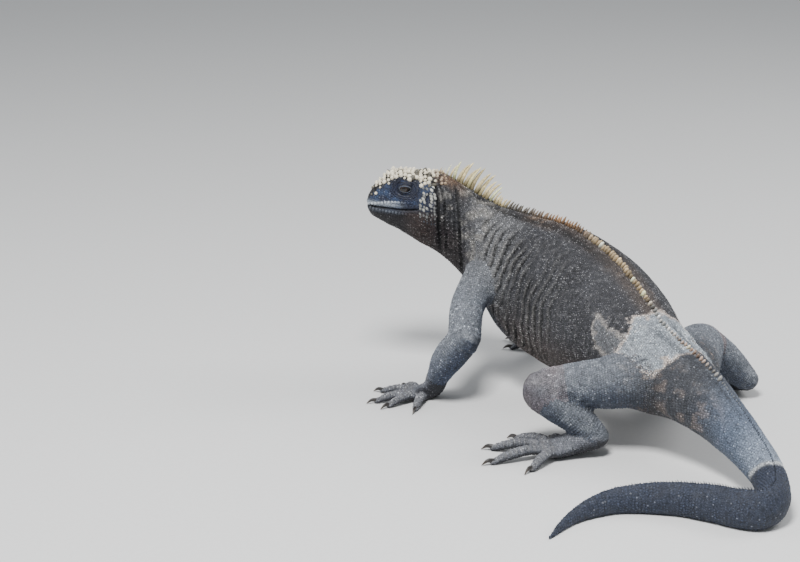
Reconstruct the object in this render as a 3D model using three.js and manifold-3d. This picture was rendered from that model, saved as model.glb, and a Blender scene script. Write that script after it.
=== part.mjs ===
// Marine iguana, a still life-size model standing with its head raised and turned to its left.
// Millimetres, +Z up. The animal faces along +X, its left side towards +Y, and the floor is at z = 0.
import * as THREE from "three";
import { mergeVertices } from "three/addons/utils/BufferGeometryUtils.js";
import Module from "manifold-3d";

const wasm = await Module();
wasm.setup();

const gap = 0.3; // space between two pieces that meet face to face
const randomSeed = 41;

// Colours
const skinColour = 0x3f444b;
const headColour = 0x5b6069;
const eyeColour = 0x2a1d16;
const clawColour = 0x1c1b1c;

// Head: the rings stand across its own axis, measured back from the tip of the snout.
const snoutTip = { x: 284, y: 63 };
const headHeading = 43.8; // degrees to the left of straight ahead
const mouthHeight = 160;
const mouthCornerBehind = 46;
const mouthDepth = 1.3;
const lipHeight = 0.02; // radians of the ring between the line of the mouth and the edge of the upper lip
const chinDrop = 0.14; // the same for the edge of the lower lip
const headRings = [
  { behind: 0, up: 6.5, down: 5, half: 5 },
  { behind: 2, up: 10.5, down: 8.5, half: 9 },
  { behind: 6, up: 15.5, down: 12, half: 13 },
  { behind: 12, up: 22, down: 15.5, half: 16 },
  { behind: 18, up: 27, down: 19, half: 18 },
  { behind: 26, up: 29, down: 23, half: 20.5 },
  { behind: 36, up: 28.5, down: 29.5, half: 23 },
  { behind: 46, up: 28.5, down: 36, half: 25 },
  { behind: 56, up: 28, down: 41, half: 25.5 },
  { behind: 66, up: 27, down: 48, half: 24.5 },
];
const crownPower = 2.6; // a higher power makes a squarer section
const throatPower = 1.7;

// Eyes, with their lids
const eyeRadius = 7;
const eyeBehind = 33;
const eyeHeight = 178;
const eyeOut = 14.5; // from the middle of the head to the middle of the eyeball
const lidRadius = 1.7;
const eyeOpening = { long: 6.8, high: 5.2 }; // half sizes of the ring of the lids

// Nostrils and ears
const nostrilBehind = 6.5;
const nostrilAngle = 58; // degrees up the ring from the side
const nostrilRadius = 2.5;
const nostrilPit = 1.5;
const earBehind = 55;
const earAngle = 15;
const earRadius = 4.6;
const earDepth = 1.4;

// Pointed scales of the crown and the cheeks
const scaleSides = 5;
const crown = {
  from: 8,
  to: 63,
  step: 6,
  radius: 3.1,
  height: 4.4,
  lowest: 38,
  lowestAtEye: 61,
  eyeReach: 11,
};
const cheek = { from: 44, to: 63, step: 4.6, radius: 1.9, height: 3, highest: 30, lowest: -28 };

// Rings of the body from the back of the head to the end of the tail: the middle on the floor plan,
// the heights of the back and the belly, and half the width.
const bodyRings = [
  { x: 224, y: 5, back: 178, belly: 95, half: 26 },
  { x: 207, y: -6, back: 166, belly: 75, half: 30 },
  { x: 186, y: -13, back: 159, belly: 54, half: 36 },
  { x: 160, y: -16, back: 157, belly: 39, half: 41.5 },
  { x: 130, y: -16.5, back: 156, belly: 31, half: 45.5 },
  { x: 100, y: -14, back: 151, belly: 27, half: 48 },
  { x: 70, y: -8, back: 143, belly: 25, half: 48 },
  { x: 40, y: 2, back: 132, belly: 25, half: 44.5 },
  { x: 12, y: 14, back: 118.5, belly: 27, half: 39 },
  { x: -14, y: 23, back: 104, belly: 30, half: 34 },
  { x: -42, y: 29.5, back: 94, belly: 33, half: 27 },
  { x: -67, y: 33, back: 83, belly: 29, half: 22 },
  { x: -93, y: 38.5, back: 67.5, belly: 22, half: 18 },
  { x: -117, y: 47, back: 54, belly: 16, half: 15.5 },
  { x: -140, y: 60, back: 44, belly: 11, half: 13.8 },
  { x: -158, y: 76, back: 37, belly: 6, half: 12.6 },
  { x: -166, y: 90, back: 33.5, belly: 2, half: 11.8 },
  { x: -163, y: 103, back: 31.5, belly: -0.6, half: 11.2 },
  { x: -150, y: 110, back: 30.5, belly: -1, half: 11 },
  { x: -132, y: 113.5, back: 29.5, belly: -1, half: 10.6 },
  { x: -109, y: 121, back: 27, belly: -1, half: 9.8 },
  { x: -87, y: 135, back: 24.5, belly: -1, half: 8.8 },
  { x: -70, y: 152, back: 21, belly: -1, half: 7.6 },
  { x: -61.5, y: 171, back: 17, belly: -0.9, half: 6.1 },
  { x: -59, y: 190, back: 12.5, belly: -0.8, half: 4.6 },
  { x: -61, y: 209, back: 8, belly: -0.7, half: 3.2 },
  { x: -66, y: 229, back: 2.4, belly: -0.5, half: 1.3 },
];
const bodyUpPower = { trunk: 1.9, tail: 1.55 };
const bodyDownPower = 2.4;
const widestShare = 0.47; // height of the widest part, as a share of the ring's height

// Where one length of the body ends and the next begins, counted in rings from the back of the head.
const bodyLengths = [
  { name: "neck", to: 2.5, sides: 28 },
  { name: "torso_front", to: 6, sides: 28 },
  { name: "torso_rear", to: 10.5, sides: 28 },
  { name: "tail_1", to: 12.5, sides: 24 },
  { name: "tail_2", to: 14.5, sides: 20 },
  { name: "tail_3", to: 16.4, sides: 18 },
  { name: "tail_4", to: 18, sides: 18 },
  { name: "tail_5", to: 20, sides: 16 },
  { name: "tail_6", to: 22.5, sides: 14 },
  { name: "tail_7", to: 24.7, sides: 12 },
  { name: "tail_8", to: 27, sides: 10 },
];
const trunkLengths = 5; // lengths from the neck backwards that carry or touch a limb
const ringStep = 12; // most that two neighbouring rings of a length stand apart

const crestStep = { base: 5.3, perLength: 0.05 }; // from one spine to the next
const crestEndClear = 3; // from the end of a length of the body to its nearest spine
const bentSpineLength = 6.3; // shorter spines are straight
const spineForm = { long: 1, wide: 0.54, least: 1.1, perLength: 0.1, sunk: 2.2 };
// How far a spine leans back, as a share of its length.
const spineLean = { atHead: 0.08, behindNeck: 0.33 };

// Crest: the length of its spines at places along the body, counted in rings as above.
const crestLengths = [
  { at: 0, length: 6 },
  { at: 0.5, length: 10 },
  { at: 1, length: 16 },
  { at: 2, length: 18.5 },
  { at: 2.6, length: 16 },
  { at: 3, length: 8 },
  { at: 6, length: 7 },
  { at: 8, length: 6 },
  { at: 10, length: 4 },
  { at: 12, length: 4 },
  { at: 15, length: 5 },
  { at: 20, length: 4 },
  { at: 24, length: 2.4 },
  { at: 27, length: 1.2 },
];

// Limbs: each joint of a leg with the limb's radius there, from the root inside the body.
const legs = [
  {
    side: "left",
    kind: "fore",
    root: { at: [188, 14, 102], radius: 18.5 },
    middle: { at: [179, 46, 84], radius: 15 },
    bend: { at: [167, 64, 61], radius: 15 },
    lower: { at: [179, 71, 42], radius: 14 },
    end: { at: [192, 70, 22], radius: 10 },
    sole: { at: [203, 75], heading: 53 },
  },
  {
    side: "right",
    kind: "fore",
    root: { at: [192, -40, 102], radius: 18.5 },
    middle: { at: [182, -70, 84], radius: 15 },
    bend: { at: [170, -87, 61], radius: 15 },
    lower: { at: [182, -91, 42], radius: 14 },
    end: { at: [196, -91, 22], radius: 10 },
    sole: { at: [210, -95], heading: -32 },
  },
  {
    side: "left",
    kind: "hind",
    root: { at: [-12, 36, 62], radius: 25 },
    middle: { at: [24, 69, 57], radius: 20 },
    bend: { at: [52, 94, 51], radius: 18.5 },
    lower: { at: [35, 88, 40], radius: 16.5 },
    end: { at: [12, 74, 17], radius: 10 },
    sole: { at: [32, 92], heading: 50 },
  },
  {
    side: "right",
    kind: "hind",
    root: { at: [-26, 8, 64], radius: 26 },
    middle: { at: [0, -42, 64], radius: 22 },
    bend: { at: [20, -80, 56], radius: 17.8 },
    lower: { at: [13, -102, 38], radius: 15.8 },
    end: { at: [2, -124, 17], radius: 10 },
    sole: { at: [28, -133], heading: -18 },
  },
];

// Feet: each digit's turn from the heading of the foot, towards the outer side, and its reach from
// the middle of the sole to the tip of the claw.
const footKinds = {
  fore: {
    name: "hand",
    upperName: "upper_arm",
    lowerName: "forearm",
    soleHalf: { wide: 13.5, deep: 7.5 },
    digitRadius: 4.1,
    digitArch: 3.2, // height that the middle of a digit stands above its ends
    clawLength: 9,
    digits: [
      { turn: -66, reach: 39 },
      { turn: -31, reach: 49 },
      { turn: 6, reach: 53 },
      { turn: 27, reach: 48 },
      { turn: 66, reach: 42 },
    ],
  },
  hind: {
    name: "foot",
    upperName: "thigh",
    lowerName: "shank",
    soleHalf: { wide: 16, deep: 9 },
    digitRadius: 4.7,
    digitArch: 4.5,
    clawLength: 10,
    digits: [
      { turn: -80, reach: 38 },
      { turn: -46, reach: 58 },
      { turn: -16, reach: 68 },
      { turn: 13, reach: 72 },
      { turn: 45, reach: 55 },
    ],
  },
};
const kneeInset = 0.8; // by how much the lower limb is slimmer than the upper one where they meet
// Height of the middle of a sole or toe as a share of its radius, so that it rests on a flat.
const soleSink = 0.84;
const digitEndShare = 0.55; // radius at the claw as a share of the digit's own

// Seeded random numbers between 0 and 1.
let randomState = randomSeed;
function random() {
  randomState = (randomState + 0x6d2b79f5) | 0;
  let t = Math.imul(randomState ^ (randomState >>> 15), 1 | randomState);
  t = (t + Math.imul(t ^ (t >>> 7), 61 | t)) ^ t;
  return ((t ^ (t >>> 14)) >>> 0) / 4294967296;
}

function varied(value, share) {
  return value * (1 + share * (2 * random() - 1));
}

// A closed surface through rings of points. The first or last ring may be a single point.
function loft(rings) {
  const points = [];
  const faces = [];
  const starts = rings.map((ring) => {
    const start = points.length;
    points.push(...ring);
    return start;
  });
  for (let i = 0; i < rings.length - 1; i++) {
    const here = rings[i].length;
    const next = rings[i + 1].length;
    const sides = Math.max(here, next);
    for (let j = 0; j < sides; j++) {
      const k = (j + 1) % sides;
      const a = starts[i] + (here > 1 ? j : 0);
      const b = starts[i] + (here > 1 ? k : 0);
      const c = starts[i + 1] + (next > 1 ? k : 0);
      const d = starts[i + 1] + (next > 1 ? j : 0);
      if (here > 1) faces.push([a, b, c]);
      if (next > 1) faces.push([a, c, d]);
    }
  }
  const closeRing = (index, turned) => {
    const ring = rings[index];
    if (ring.length === 1) return;
    const middle = points.length;
    const centre = new THREE.Vector3();
    ring.forEach((point) => centre.addScaledVector(point, 1 / ring.length));
    points.push(centre);
    for (let j = 0; j < ring.length; j++) {
      const a = starts[index] + j;
      const b = starts[index] + ((j + 1) % ring.length);
      faces.push(turned ? [b, a, middle] : [a, b, middle]);
    }
  };
  closeRing(0, true);
  closeRing(rings.length - 1, false);
  let volume = 0;
  for (const [a, b, c] of faces) volume += points[a].dot(points[b].clone().cross(points[c]));
  if (volume < 0) faces.forEach((face) => face.reverse());
  const geometry = new THREE.BufferGeometry().setFromPoints(points);
  geometry.setIndex(faces.flat());
  return geometry;
}

// A three.js geometry as a solid that can be joined and cut.
function solidOf(geometry) {
  const bare = geometry.clone();
  bare.deleteAttribute("normal");
  bare.deleteAttribute("uv");
  const merged = mergeVertices(bare, 1e-4);
  return new wasm.Manifold(
    new wasm.Mesh({
      numProp: 3,
      vertProperties: merged.getAttribute("position").array,
      triVerts: new Uint32Array(merged.index.array),
    }),
  );
}

function geometryOf(solid) {
  const mesh = solid.getMesh();
  const geometry = new THREE.BufferGeometry();
  geometry.setAttribute("position", new THREE.BufferAttribute(mesh.vertProperties, mesh.numProp));
  geometry.setIndex(new THREE.BufferAttribute(mesh.triVerts, 1));
  geometry.computeVertexNormals();
  return geometry;
}

function joined(solids) {
  return solids.reduce((whole, piece) => whole.add(piece));
}

// The largest closed surface of a solid.
function largest(solid) {
  const bodies = solid.decompose();
  return bodies.reduce((best, body) => (body.volume() > best.volume() ? body : best));
}

// Values at unevenly spaced places, joined by a smooth curve.
function smoothValue(places, values, place) {
  const last = places.length - 1;
  let i = 0;
  while (i < last - 1 && place > places[i + 1]) i++;
  const slope = (k) => {
    const a = Math.max(k - 1, 0);
    const b = Math.min(k + 1, last);
    return (values[b] - values[a]) / (places[b] - places[a]);
  };
  const width = places[i + 1] - places[i];
  const t = THREE.MathUtils.clamp((place - places[i]) / width, 0, 1);
  const u = 1 - t;
  return (
    values[i] * u * u * (1 + 2 * t) +
    values[i + 1] * t * t * (3 - 2 * t) +
    width * (slope(i) * t * u * u - slope(i + 1) * t * t * u)
  );
}

// The rings of head and body in one row, with the distance of each along the floor plan.
const headAxis = new THREE.Vector3(1, 0, 0).applyAxisAngle(
  new THREE.Vector3(0, 0, 1),
  THREE.MathUtils.degToRad(headHeading),
);
const headRow = headRings.map((ring) => ({
  x: snoutTip.x - ring.behind * headAxis.x,
  y: snoutTip.y - ring.behind * headAxis.y,
  back: mouthHeight + ring.up,
  mid: mouthHeight,
  belly: mouthHeight - ring.down,
  half: ring.half,
  upPower: crownPower,
  downPower: throatPower,
}));
const tailStart = 10;
const neckBlend = 3;
const bodyRow = bodyRings.map((ring, i) => {
  const tailShare = THREE.MathUtils.smoothstep(i, tailStart - 2, tailStart + 3);
  const neckShare = THREE.MathUtils.smoothstep(i + 1, 0, neckBlend);
  return {
    ...ring,
    mid: ring.belly + (ring.back - ring.belly) * THREE.MathUtils.lerp(0.62, widestShare, neckShare),
    upPower: THREE.MathUtils.lerp(
      THREE.MathUtils.lerp(2.3, bodyUpPower.trunk, neckShare),
      bodyUpPower.tail,
      tailShare,
    ),
    downPower: THREE.MathUtils.lerp(throatPower, bodyDownPower, neckShare),
  };
});
const row = [...headRow, ...bodyRow];
const rowPlaces = [0];
for (let i = 1; i < row.length; i++) {
  rowPlaces.push(rowPlaces[i - 1] + Math.hypot(row[i].x - row[i - 1].x, row[i].y - row[i - 1].y));
}
const valuesOf = Object.fromEntries(Object.keys(row[0]).map((key) => [key, row.map((ring) => ring[key])]));

// The ring at a distance along the row, larger by grow all round.
function ringAt(place, grow = 0) {
  const value = (key, at = place) => smoothValue(rowPlaces, valuesOf[key], at);
  const step = 0.5;
  const total = rowPlaces[rowPlaces.length - 1];
  const before = Math.max(place - step, 0);
  const after = Math.min(place + step, total);
  const along = new THREE.Vector3(
    value("x", after) - value("x", before),
    value("y", after) - value("y", before),
    0,
  ).normalize();
  return {
    along,
    side: new THREE.Vector3(along.y, -along.x, 0),
    middle: new THREE.Vector3(value("x"), value("y"), value("mid")),
    up: value("back") - value("mid") + grow,
    down: value("mid") - value("belly") + grow,
    half: value("half") + grow,
    upPower: value("upPower"),
    downPower: value("downPower"),
  };
}

function ringPoint(ring, angle, inset = 0) {
  const across = Math.cos(angle);
  const rise = Math.sin(angle);
  const power = rise >= 0 ? ring.upPower : ring.downPower;
  const reach = (share) => Math.sign(share) * Math.abs(share) ** (2 / power);
  return ring.middle
    .clone()
    .addScaledVector(ring.side, reach(across) * (ring.half - inset))
    .add(new THREE.Vector3(0, 0, reach(rise) * (rise >= 0 ? ring.up : ring.down)));
}

// Point of the surface, with the directions out of it and along the body.
function surfaceAt(place, angle) {
  const point = ringPoint(ringAt(place), angle);
  const behind = ringPoint(ringAt(place + 0.5), angle).sub(point);
  const around = ringPoint(ringAt(place), angle + 0.03).sub(point);
  const out = behind.clone().cross(around).normalize();
  const middle = ringAt(place).middle;
  if (out.dot(point.clone().sub(middle)) < 0) out.negate();
  return { point, out, along: behind.normalize() };
}

function bodyRing(place, sides, grow = 0) {
  const ring = ringAt(place, grow);
  return Array.from({ length: sides }, (_, j) => ringPoint(ring, (2 * Math.PI * (j + 0.5)) / sides));
}

// A length of the body between two places, its flat ends half a gap short of each. A length that is
// larger by grow all round passes both places by as much.
function bodyLength(from, to, sides, grow = 0) {
  const steps = Math.max(2, Math.ceil((to - from) / ringStep));
  const endShift = gap / 2 - grow;
  const rings = [];
  for (let i = 0; i <= steps; i++) {
    const place = THREE.MathUtils.lerp(from, to, i / steps);
    const ring = bodyRing(place, sides, grow);
    const shift = i === 0 ? endShift : i === steps ? -endShift : 0;
    ring.forEach((point) => point.addScaledVector(ringAt(place).along, shift));
    rings.push(ring);
  }
  return loft(rings);
}

const headEnd = rowPlaces[headRings.length - 1];
const placeOfRing = (index) => {
  const rings = headRings.length - 1 + index;
  const whole = Math.min(Math.floor(rings), row.length - 2);
  return THREE.MathUtils.lerp(rowPlaces[whole], rowPlaces[whole + 1], rings - whole);
};

// The lengths of the body in order, with the places where each begins and ends.
function bodySpans() {
  let from = headEnd;
  return bodyLengths.map(({ name, to, sides }) => {
    const span = { name, sides, from, to: placeOfRing(to) };
    from = span.to;
    return span;
  });
}

// The lengths that the limbs grow from, a gap larger all round, which cut the limbs clear of them.
function grownTrunk() {
  return joined(
    bodySpans()
      .slice(0, trunkLengths)
      .map(({ from, to, sides }) => solidOf(bodyLength(from, to, sides, gap))),
  );
}

const floorCutter = solidOf(new THREE.BoxGeometry(1200, 1200, 200).translate(0, 0, -100));

// Mesh of one named piece.
const animal = new THREE.Group();
function addPiece(name, solid, colour, roughness) {
  const material = new THREE.MeshStandardMaterial({ color: colour, roughness, metalness: 0 });
  const mesh = new THREE.Mesh(geometryOf(largest(solid.subtract(floorCutter))), material);
  mesh.name = name;
  animal.add(mesh);
}

// Head with the line of the mouth sunk along both sides.
function headCore() {
  const steps = 18;
  const upperCount = 17;
  const lowerCount = 12;
  const rings = [];
  for (let i = 0; i <= steps; i++) {
    const place = headEnd * (i / steps) ** 1.25;
    const ring = ringAt(place);
    const fade = 1 - THREE.MathUtils.smoothstep(place, mouthCornerBehind - 8, mouthCornerBehind);
    const inset = mouthDepth * fade * Math.min(1, place / 3);
    const points = [ringPoint(ring, 0, inset)];
    for (let j = 0; j <= upperCount; j++) {
      points.push(ringPoint(ring, THREE.MathUtils.lerp(lipHeight, Math.PI - lipHeight, j / upperCount)));
    }
    points.push(ringPoint(ring, Math.PI, inset));
    for (let j = 0; j <= lowerCount; j++) {
      const angle = THREE.MathUtils.lerp(Math.PI + chinDrop, 2 * Math.PI - chinDrop, j / lowerCount);
      points.push(ringPoint(ring, angle, 0.3 * fade));
    }
    if (i === steps) points.forEach((point) => point.addScaledVector(ring.along, -gap / 2));
    rings.push(points);
  }
  return solidOf(loft(rings));
}

// Tapered horn of few sides standing on the skin: its root is sunk, and it bends over towards its lean.
function horn({ point, out, lean, length, long, wide, sunk, bend, sides }) {
  const side = out.clone().cross(lean).normalize();
  const ringAround = (centre, share) =>
    Array.from({ length: sides }, (_, j) => {
      const angle = (2 * Math.PI * (j + 0.5)) / sides;
      return centre
        .clone()
        .addScaledVector(lean, Math.cos(angle) * long * share)
        .addScaledVector(side, Math.sin(angle) * wide * share);
    });
  const root = point.clone().addScaledVector(out, -sunk);
  const middle = point
    .clone()
    .addScaledVector(out, 0.5 * length)
    .addScaledVector(lean, 0.45 * bend * length);
  const tip = point.clone().addScaledVector(out, length).addScaledVector(lean, 1.7 * bend * length);
  const bent = length > bentSpineLength ? [ringAround(middle, 0.68)] : [];
  return solidOf(loft([ringAround(root, 1), ...bent, [tip]]));
}

// Low cone of few sides standing on the skin: a pointed scale, leaning a little.
function pointedScale({ point, out, lean, radius, height, slant }) {
  const side = out.clone().cross(lean).normalize();
  const forward = side.clone().cross(out);
  const turn = random();
  const sunk = 0.45 * radius;
  const ring = Array.from({ length: scaleSides }, (_, j) => {
    const angle = (2 * Math.PI * (j + turn)) / scaleSides;
    return point
      .clone()
      .addScaledVector(out, -sunk)
      .addScaledVector(forward, Math.cos(angle) * radius)
      .addScaledVector(side, Math.sin(angle) * radius);
  });
  const tip = point.clone().addScaledVector(out, height).addScaledVector(forward, slant * height);
  return solidOf(loft([ring, [tip]]));
}

function ball(radius, widthSegments, heightSegments) {
  return new THREE.SphereGeometry(radius, widthSegments, heightSegments);
}

function headPlace(behind, out, height) {
  const leftward = new THREE.Vector3(-headAxis.y, headAxis.x, 0);
  return new THREE.Vector3(snoutTip.x, snoutTip.y, height)
    .addScaledVector(headAxis, -behind)
    .addScaledVector(leftward, out);
}

// A tapered ridge along an arc round the eye, from its front corner to its back corner.
function lid(sign, upper) {
  const steps = 8;
  const sides = 6;
  const leftward = new THREE.Vector3(-headAxis.y, headAxis.x, 0).multiplyScalar(sign);
  const rings = [];
  for (let i = 0; i <= steps; i++) {
    const turn = Math.PI * (i / steps);
    const lift = Math.sin(turn) * (upper ? 1 : -1);
    const thick = lidRadius * (0.55 + 0.45 * Math.sin(turn)) * (upper ? 1.15 : 0.9);
    const behind = eyeBehind + eyeOpening.long * Math.cos(turn);
    const centre = headPlace(behind, 0, eyeHeight + eyeOpening.high * lift)
      .addScaledVector(leftward, eyeOut + 5.2 - (upper ? 0.6 : 0) * lift);
    const forward = headAxis.clone().multiplyScalar(-Math.cos(turn));
    const radial = forward.add(new THREE.Vector3(0, 0, lift)).normalize();
    rings.push(
      Array.from({ length: sides }, (_, j) => {
        const angle = (2 * Math.PI * j) / sides;
        return centre
          .clone()
          .addScaledVector(radial, Math.cos(angle) * thick)
          .addScaledVector(leftward, Math.sin(angle) * thick * 1.3);
      }),
    );
  }
  return solidOf(loft(rings));
}

// Pointed scales in staggered rows over the crown, lower towards the snout.
function crownScales() {
  const scales = [];
  for (let behind = crown.from; behind < crown.to; behind += crown.step) {
    const nearEye = Math.abs(behind - eyeBehind) < crown.eyeReach;
    const lowest = THREE.MathUtils.degToRad(nearEye ? crown.lowestAtEye : crown.lowest);
    const ring = ringAt(behind);
    const count = Math.max(3, Math.round(((Math.PI - 2 * lowest) * ring.half * 0.9) / crown.step));
    const size = THREE.MathUtils.lerp(0.6, 1, THREE.MathUtils.smoothstep(behind, crown.from, 30));
    for (let j = 0; j < count; j++) {
      const share = (j + 0.5 + 0.2 * (random() - 0.5)) / count;
      const angle = THREE.MathUtils.lerp(lowest, Math.PI - lowest, share);
      const { point, out, along } = surfaceAt(behind + varied(0.5, 1), angle);
      scales.push(
        pointedScale({
          point,
          out,
          lean: along,
          radius: varied(crown.radius * (0.6 + 0.4 * size), 0.15),
          height: varied(crown.height * size, 0.3),
          slant: 0.15,
        }),
      );
    }
  }
  return scales;
}

// Smaller scales on both cheeks behind the eye, round the ear.
function cheekScales() {
  const scales = [];
  for (const mirrored of [false, true]) {
    for (let behind = cheek.from; behind < cheek.to; behind += cheek.step) {
      for (let degrees = cheek.lowest; degrees <= cheek.highest; degrees += 11) {
        const fromEar = Math.hypot(behind - earBehind, (degrees - earAngle) * 0.42);
        if (fromEar < earRadius + cheek.radius) continue;
        const turned = THREE.MathUtils.degToRad(varied(mirrored ? 180 - degrees : degrees, 0.01));
        const { point, out, along } = surfaceAt(behind + 1.2 * (random() - 0.5), turned);
        scales.push(
          pointedScale({
            point,
            out,
            lean: along,
            radius: varied(cheek.radius, 0.2),
            height: varied(cheek.height, 0.25),
            slant: 0.5,
          }),
        );
      }
    }
  }
  return scales;
}

function makeHead() {
  let head = headCore();
  const added = [...crownScales(), ...cheekScales()];
  const cut = [];
  for (const sign of [1, -1]) {
    const leftAngle = (degrees) => THREE.MathUtils.degToRad(sign > 0 ? degrees : 180 - degrees);
    cut.push(solidOf(ball(eyeRadius + gap, 12, 8).applyMatrix4(eyeMatrix(sign))));
    added.push(lid(sign, true), lid(sign, false));
    const nostril = surfaceAt(nostrilBehind, leftAngle(nostrilAngle));
    added.push(solidOf(ball(nostrilRadius, 7, 5).translate(...nostril.point.toArray())));
    const pit = nostril.point.clone().addScaledVector(nostril.out, nostrilRadius);
    cut.push(solidOf(ball(nostrilPit, 6, 4).translate(...pit.toArray())));
    const ear = surfaceAt(earBehind, leftAngle(earAngle));
    const dish = ball(1, 10, 6).scale(earDepth, earRadius, earRadius);
    const toOut = new THREE.Quaternion().setFromUnitVectors(new THREE.Vector3(1, 0, 0), ear.out);
    cut.push(solidOf(dish.applyQuaternion(toOut).translate(...ear.point.toArray())));
  }
  head = joined([head, ...added]);
  for (const piece of cut) head = head.subtract(piece);
  addPiece("head", head, headColour, 0.75);
}

function eyeMatrix(sign) {
  return new THREE.Matrix4().setPosition(headPlace(eyeBehind, sign * eyeOut, eyeHeight));
}

function makeEyes() {
  for (const [side, sign] of [["left", 1], ["right", -1]]) {
    addPiece("eye_" + side, solidOf(ball(eyeRadius, 12, 8).applyMatrix4(eyeMatrix(sign))), eyeColour, 0.15);
  }
}

// Spines of the crest on one length of the body, each leaning towards the tail.
function crestSpines({ from, to }) {
  const spines = [];
  let place = from + crestEndClear;
  while (place < to - crestEndClear) {
    const length = varied(crestLength(place), 0.12);
    const { point, out, along } = surfaceAt(place, Math.PI / 2);
    const backShare = THREE.MathUtils.smoothstep(place, headEnd, placeOfRing(3));
    const half = spineForm.least + spineForm.perLength * length;
    spines.push(
      horn({
        point,
        out,
        lean: along,
        length,
        long: half * spineForm.long,
        wide: half * spineForm.wide,
        sunk: spineForm.sunk,
        bend: varied(THREE.MathUtils.lerp(spineLean.atHead, spineLean.behindNeck, backShare), 0.2),
        sides: 4,
      }),
    );
    place += varied(crestStep.base + crestStep.perLength * length, 0.12);
  }
  return spines;
}

function crestLength(place) {
  const places = crestLengths.map((entry) => placeOfRing(entry.at));
  return smoothValue(places, crestLengths.map((entry) => entry.length), place);
}

function makeBody() {
  for (const span of bodySpans()) {
    const flesh = solidOf(bodyLength(span.from, span.to, span.sides));
    addPiece(span.name, joined([flesh, ...crestSpines(span)]), skinColour, 0.8);
  }
}

// Rings between two stations of a limb, and the turns from its end at which its round caps have theirs.
const stout = { perSpan: 2, capTurns: [Math.PI / 3, Math.PI / 6] };
const slender = { perSpan: 1, capTurns: [Math.PI / 5] };

// A limb with round ends through stations of place and half sizes, larger by grow all round.
function roundedLimb(stations, sides, grow = 0, { perSpan, capTurns } = stout) {
  const path = new THREE.CatmullRomCurve3(stations.map((station) => new THREE.Vector3(...station.at)));
  const shares = stations.map((_, i) => i / (stations.length - 1));
  const steps = (stations.length - 1) * perSpan;
  const first = path.getTangent(0);
  const upwards = new THREE.Vector3(0, 0, 1);
  const flat = Math.abs(first.z) > 0.9 ? new THREE.Vector3(1, 0, 0) : upwards;
  let side = flat.clone().cross(first).normalize();
  const ringOf = (centre, along, wide, deep) => {
    side = side.clone().addScaledVector(along, -side.dot(along)).normalize();
    const up = along.clone().cross(side);
    return Array.from({ length: sides }, (_, j) => {
      const angle = (2 * Math.PI * j) / sides;
      return centre
        .clone()
        .addScaledVector(side, Math.cos(angle) * wide)
        .addScaledVector(up, Math.sin(angle) * deep);
    });
  };
  const halfAt = (key, share) => smoothValue(shares, stations.map((s) => s[key] ?? s.radius), share) + grow;
  const rings = [];
  const start = path.getPoint(0);
  const startAway = first.clone().negate();
  const startReach = Math.min(halfAt("wide", 0), halfAt("deep", 0));
  rings.push([start.clone().addScaledVector(startAway, startReach)]);
  for (const turn of capTurns) {
    const centre = start.clone().addScaledVector(startAway, startReach * Math.sin(turn));
    rings.push(ringOf(centre, first, halfAt("wide", 0) * Math.cos(turn), halfAt("deep", 0) * Math.cos(turn)));
  }
  for (let i = 0; i <= steps; i++) {
    const share = i / steps;
    const tangent = path.getTangent(share);
    rings.push(ringOf(path.getPoint(share), tangent, halfAt("wide", share), halfAt("deep", share)));
  }
  const finish = path.getPoint(1);
  const last = path.getTangent(1);
  const endReach = Math.min(halfAt("wide", 1), halfAt("deep", 1));
  for (const turn of [...capTurns].reverse()) {
    const centre = finish.clone().addScaledVector(last, endReach * Math.sin(turn));
    rings.push(ringOf(centre, last, halfAt("wide", 1) * Math.cos(turn), halfAt("deep", 1) * Math.cos(turn)));
  }
  rings.push([finish.clone().addScaledVector(last, endReach)]);
  return solidOf(loft(rings));
}

// Stations of one digit from the sole to the root of its claw, and the claw's own curve.
function digitOf(leg, kind, digit) {
  const outward = leg.side === "left" ? 1 : -1;
  const heading = THREE.MathUtils.degToRad(leg.sole.heading + outward * digit.turn);
  const along = new THREE.Vector3(Math.cos(heading), Math.sin(heading), 0);
  const sole = new THREE.Vector3(...leg.sole.at, 0);
  const at = (reach, height) => sole.clone().addScaledVector(along, reach).setZ(height);
  const radius = kind.digitRadius;
  const endRadius = radius * digitEndShare;
  const flesh = digit.reach - kind.clawLength;
  const base = radius * soleSink;
  const stations = [
    { at: at(3, base).toArray(), radius },
    { at: at(flesh * 0.5, base + kind.digitArch).toArray(), radius: radius * 0.88 },
    { at: at(flesh * 0.78, base + 0.5 * kind.digitArch).toArray(), radius: radius * 0.8 },
    { at: at(flesh, endRadius * soleSink).toArray(), radius: endRadius },
  ];
  const claw = [
    { at: at(flesh - 1, endRadius * 1.1).toArray(), radius: endRadius * 0.85 },
    { at: at(flesh + 0.45 * kind.clawLength, endRadius * 1.4).toArray(), radius: endRadius * 0.6 },
    { at: at(digit.reach - 0.5, 0.9).toArray(), radius: 0.35 },
  ];
  return { stations, claw };
}

// A claw through its stations, flat at its root and pointed at its tip.
function horned(stations) {
  const rings = stations.map(({ at, radius }, i) => {
    const centre = new THREE.Vector3(...at);
    if (i === stations.length - 1) return [centre];
    const along = new THREE.Vector3(...stations[i + 1].at).sub(centre).normalize();
    const side = new THREE.Vector3(0, 0, 1).cross(along).normalize();
    const up = along.clone().cross(side);
    return Array.from({ length: clawSides }, (_, j) => {
      const angle = (2 * Math.PI * (j + 0.25)) / clawSides;
      return centre
        .clone()
        .addScaledVector(side, Math.cos(angle) * radius)
        .addScaledVector(up, Math.sin(angle) * radius);
    });
  });
  return solidOf(loft(rings));
}

const clawSides = 5;
const digitSides = 6;

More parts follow.
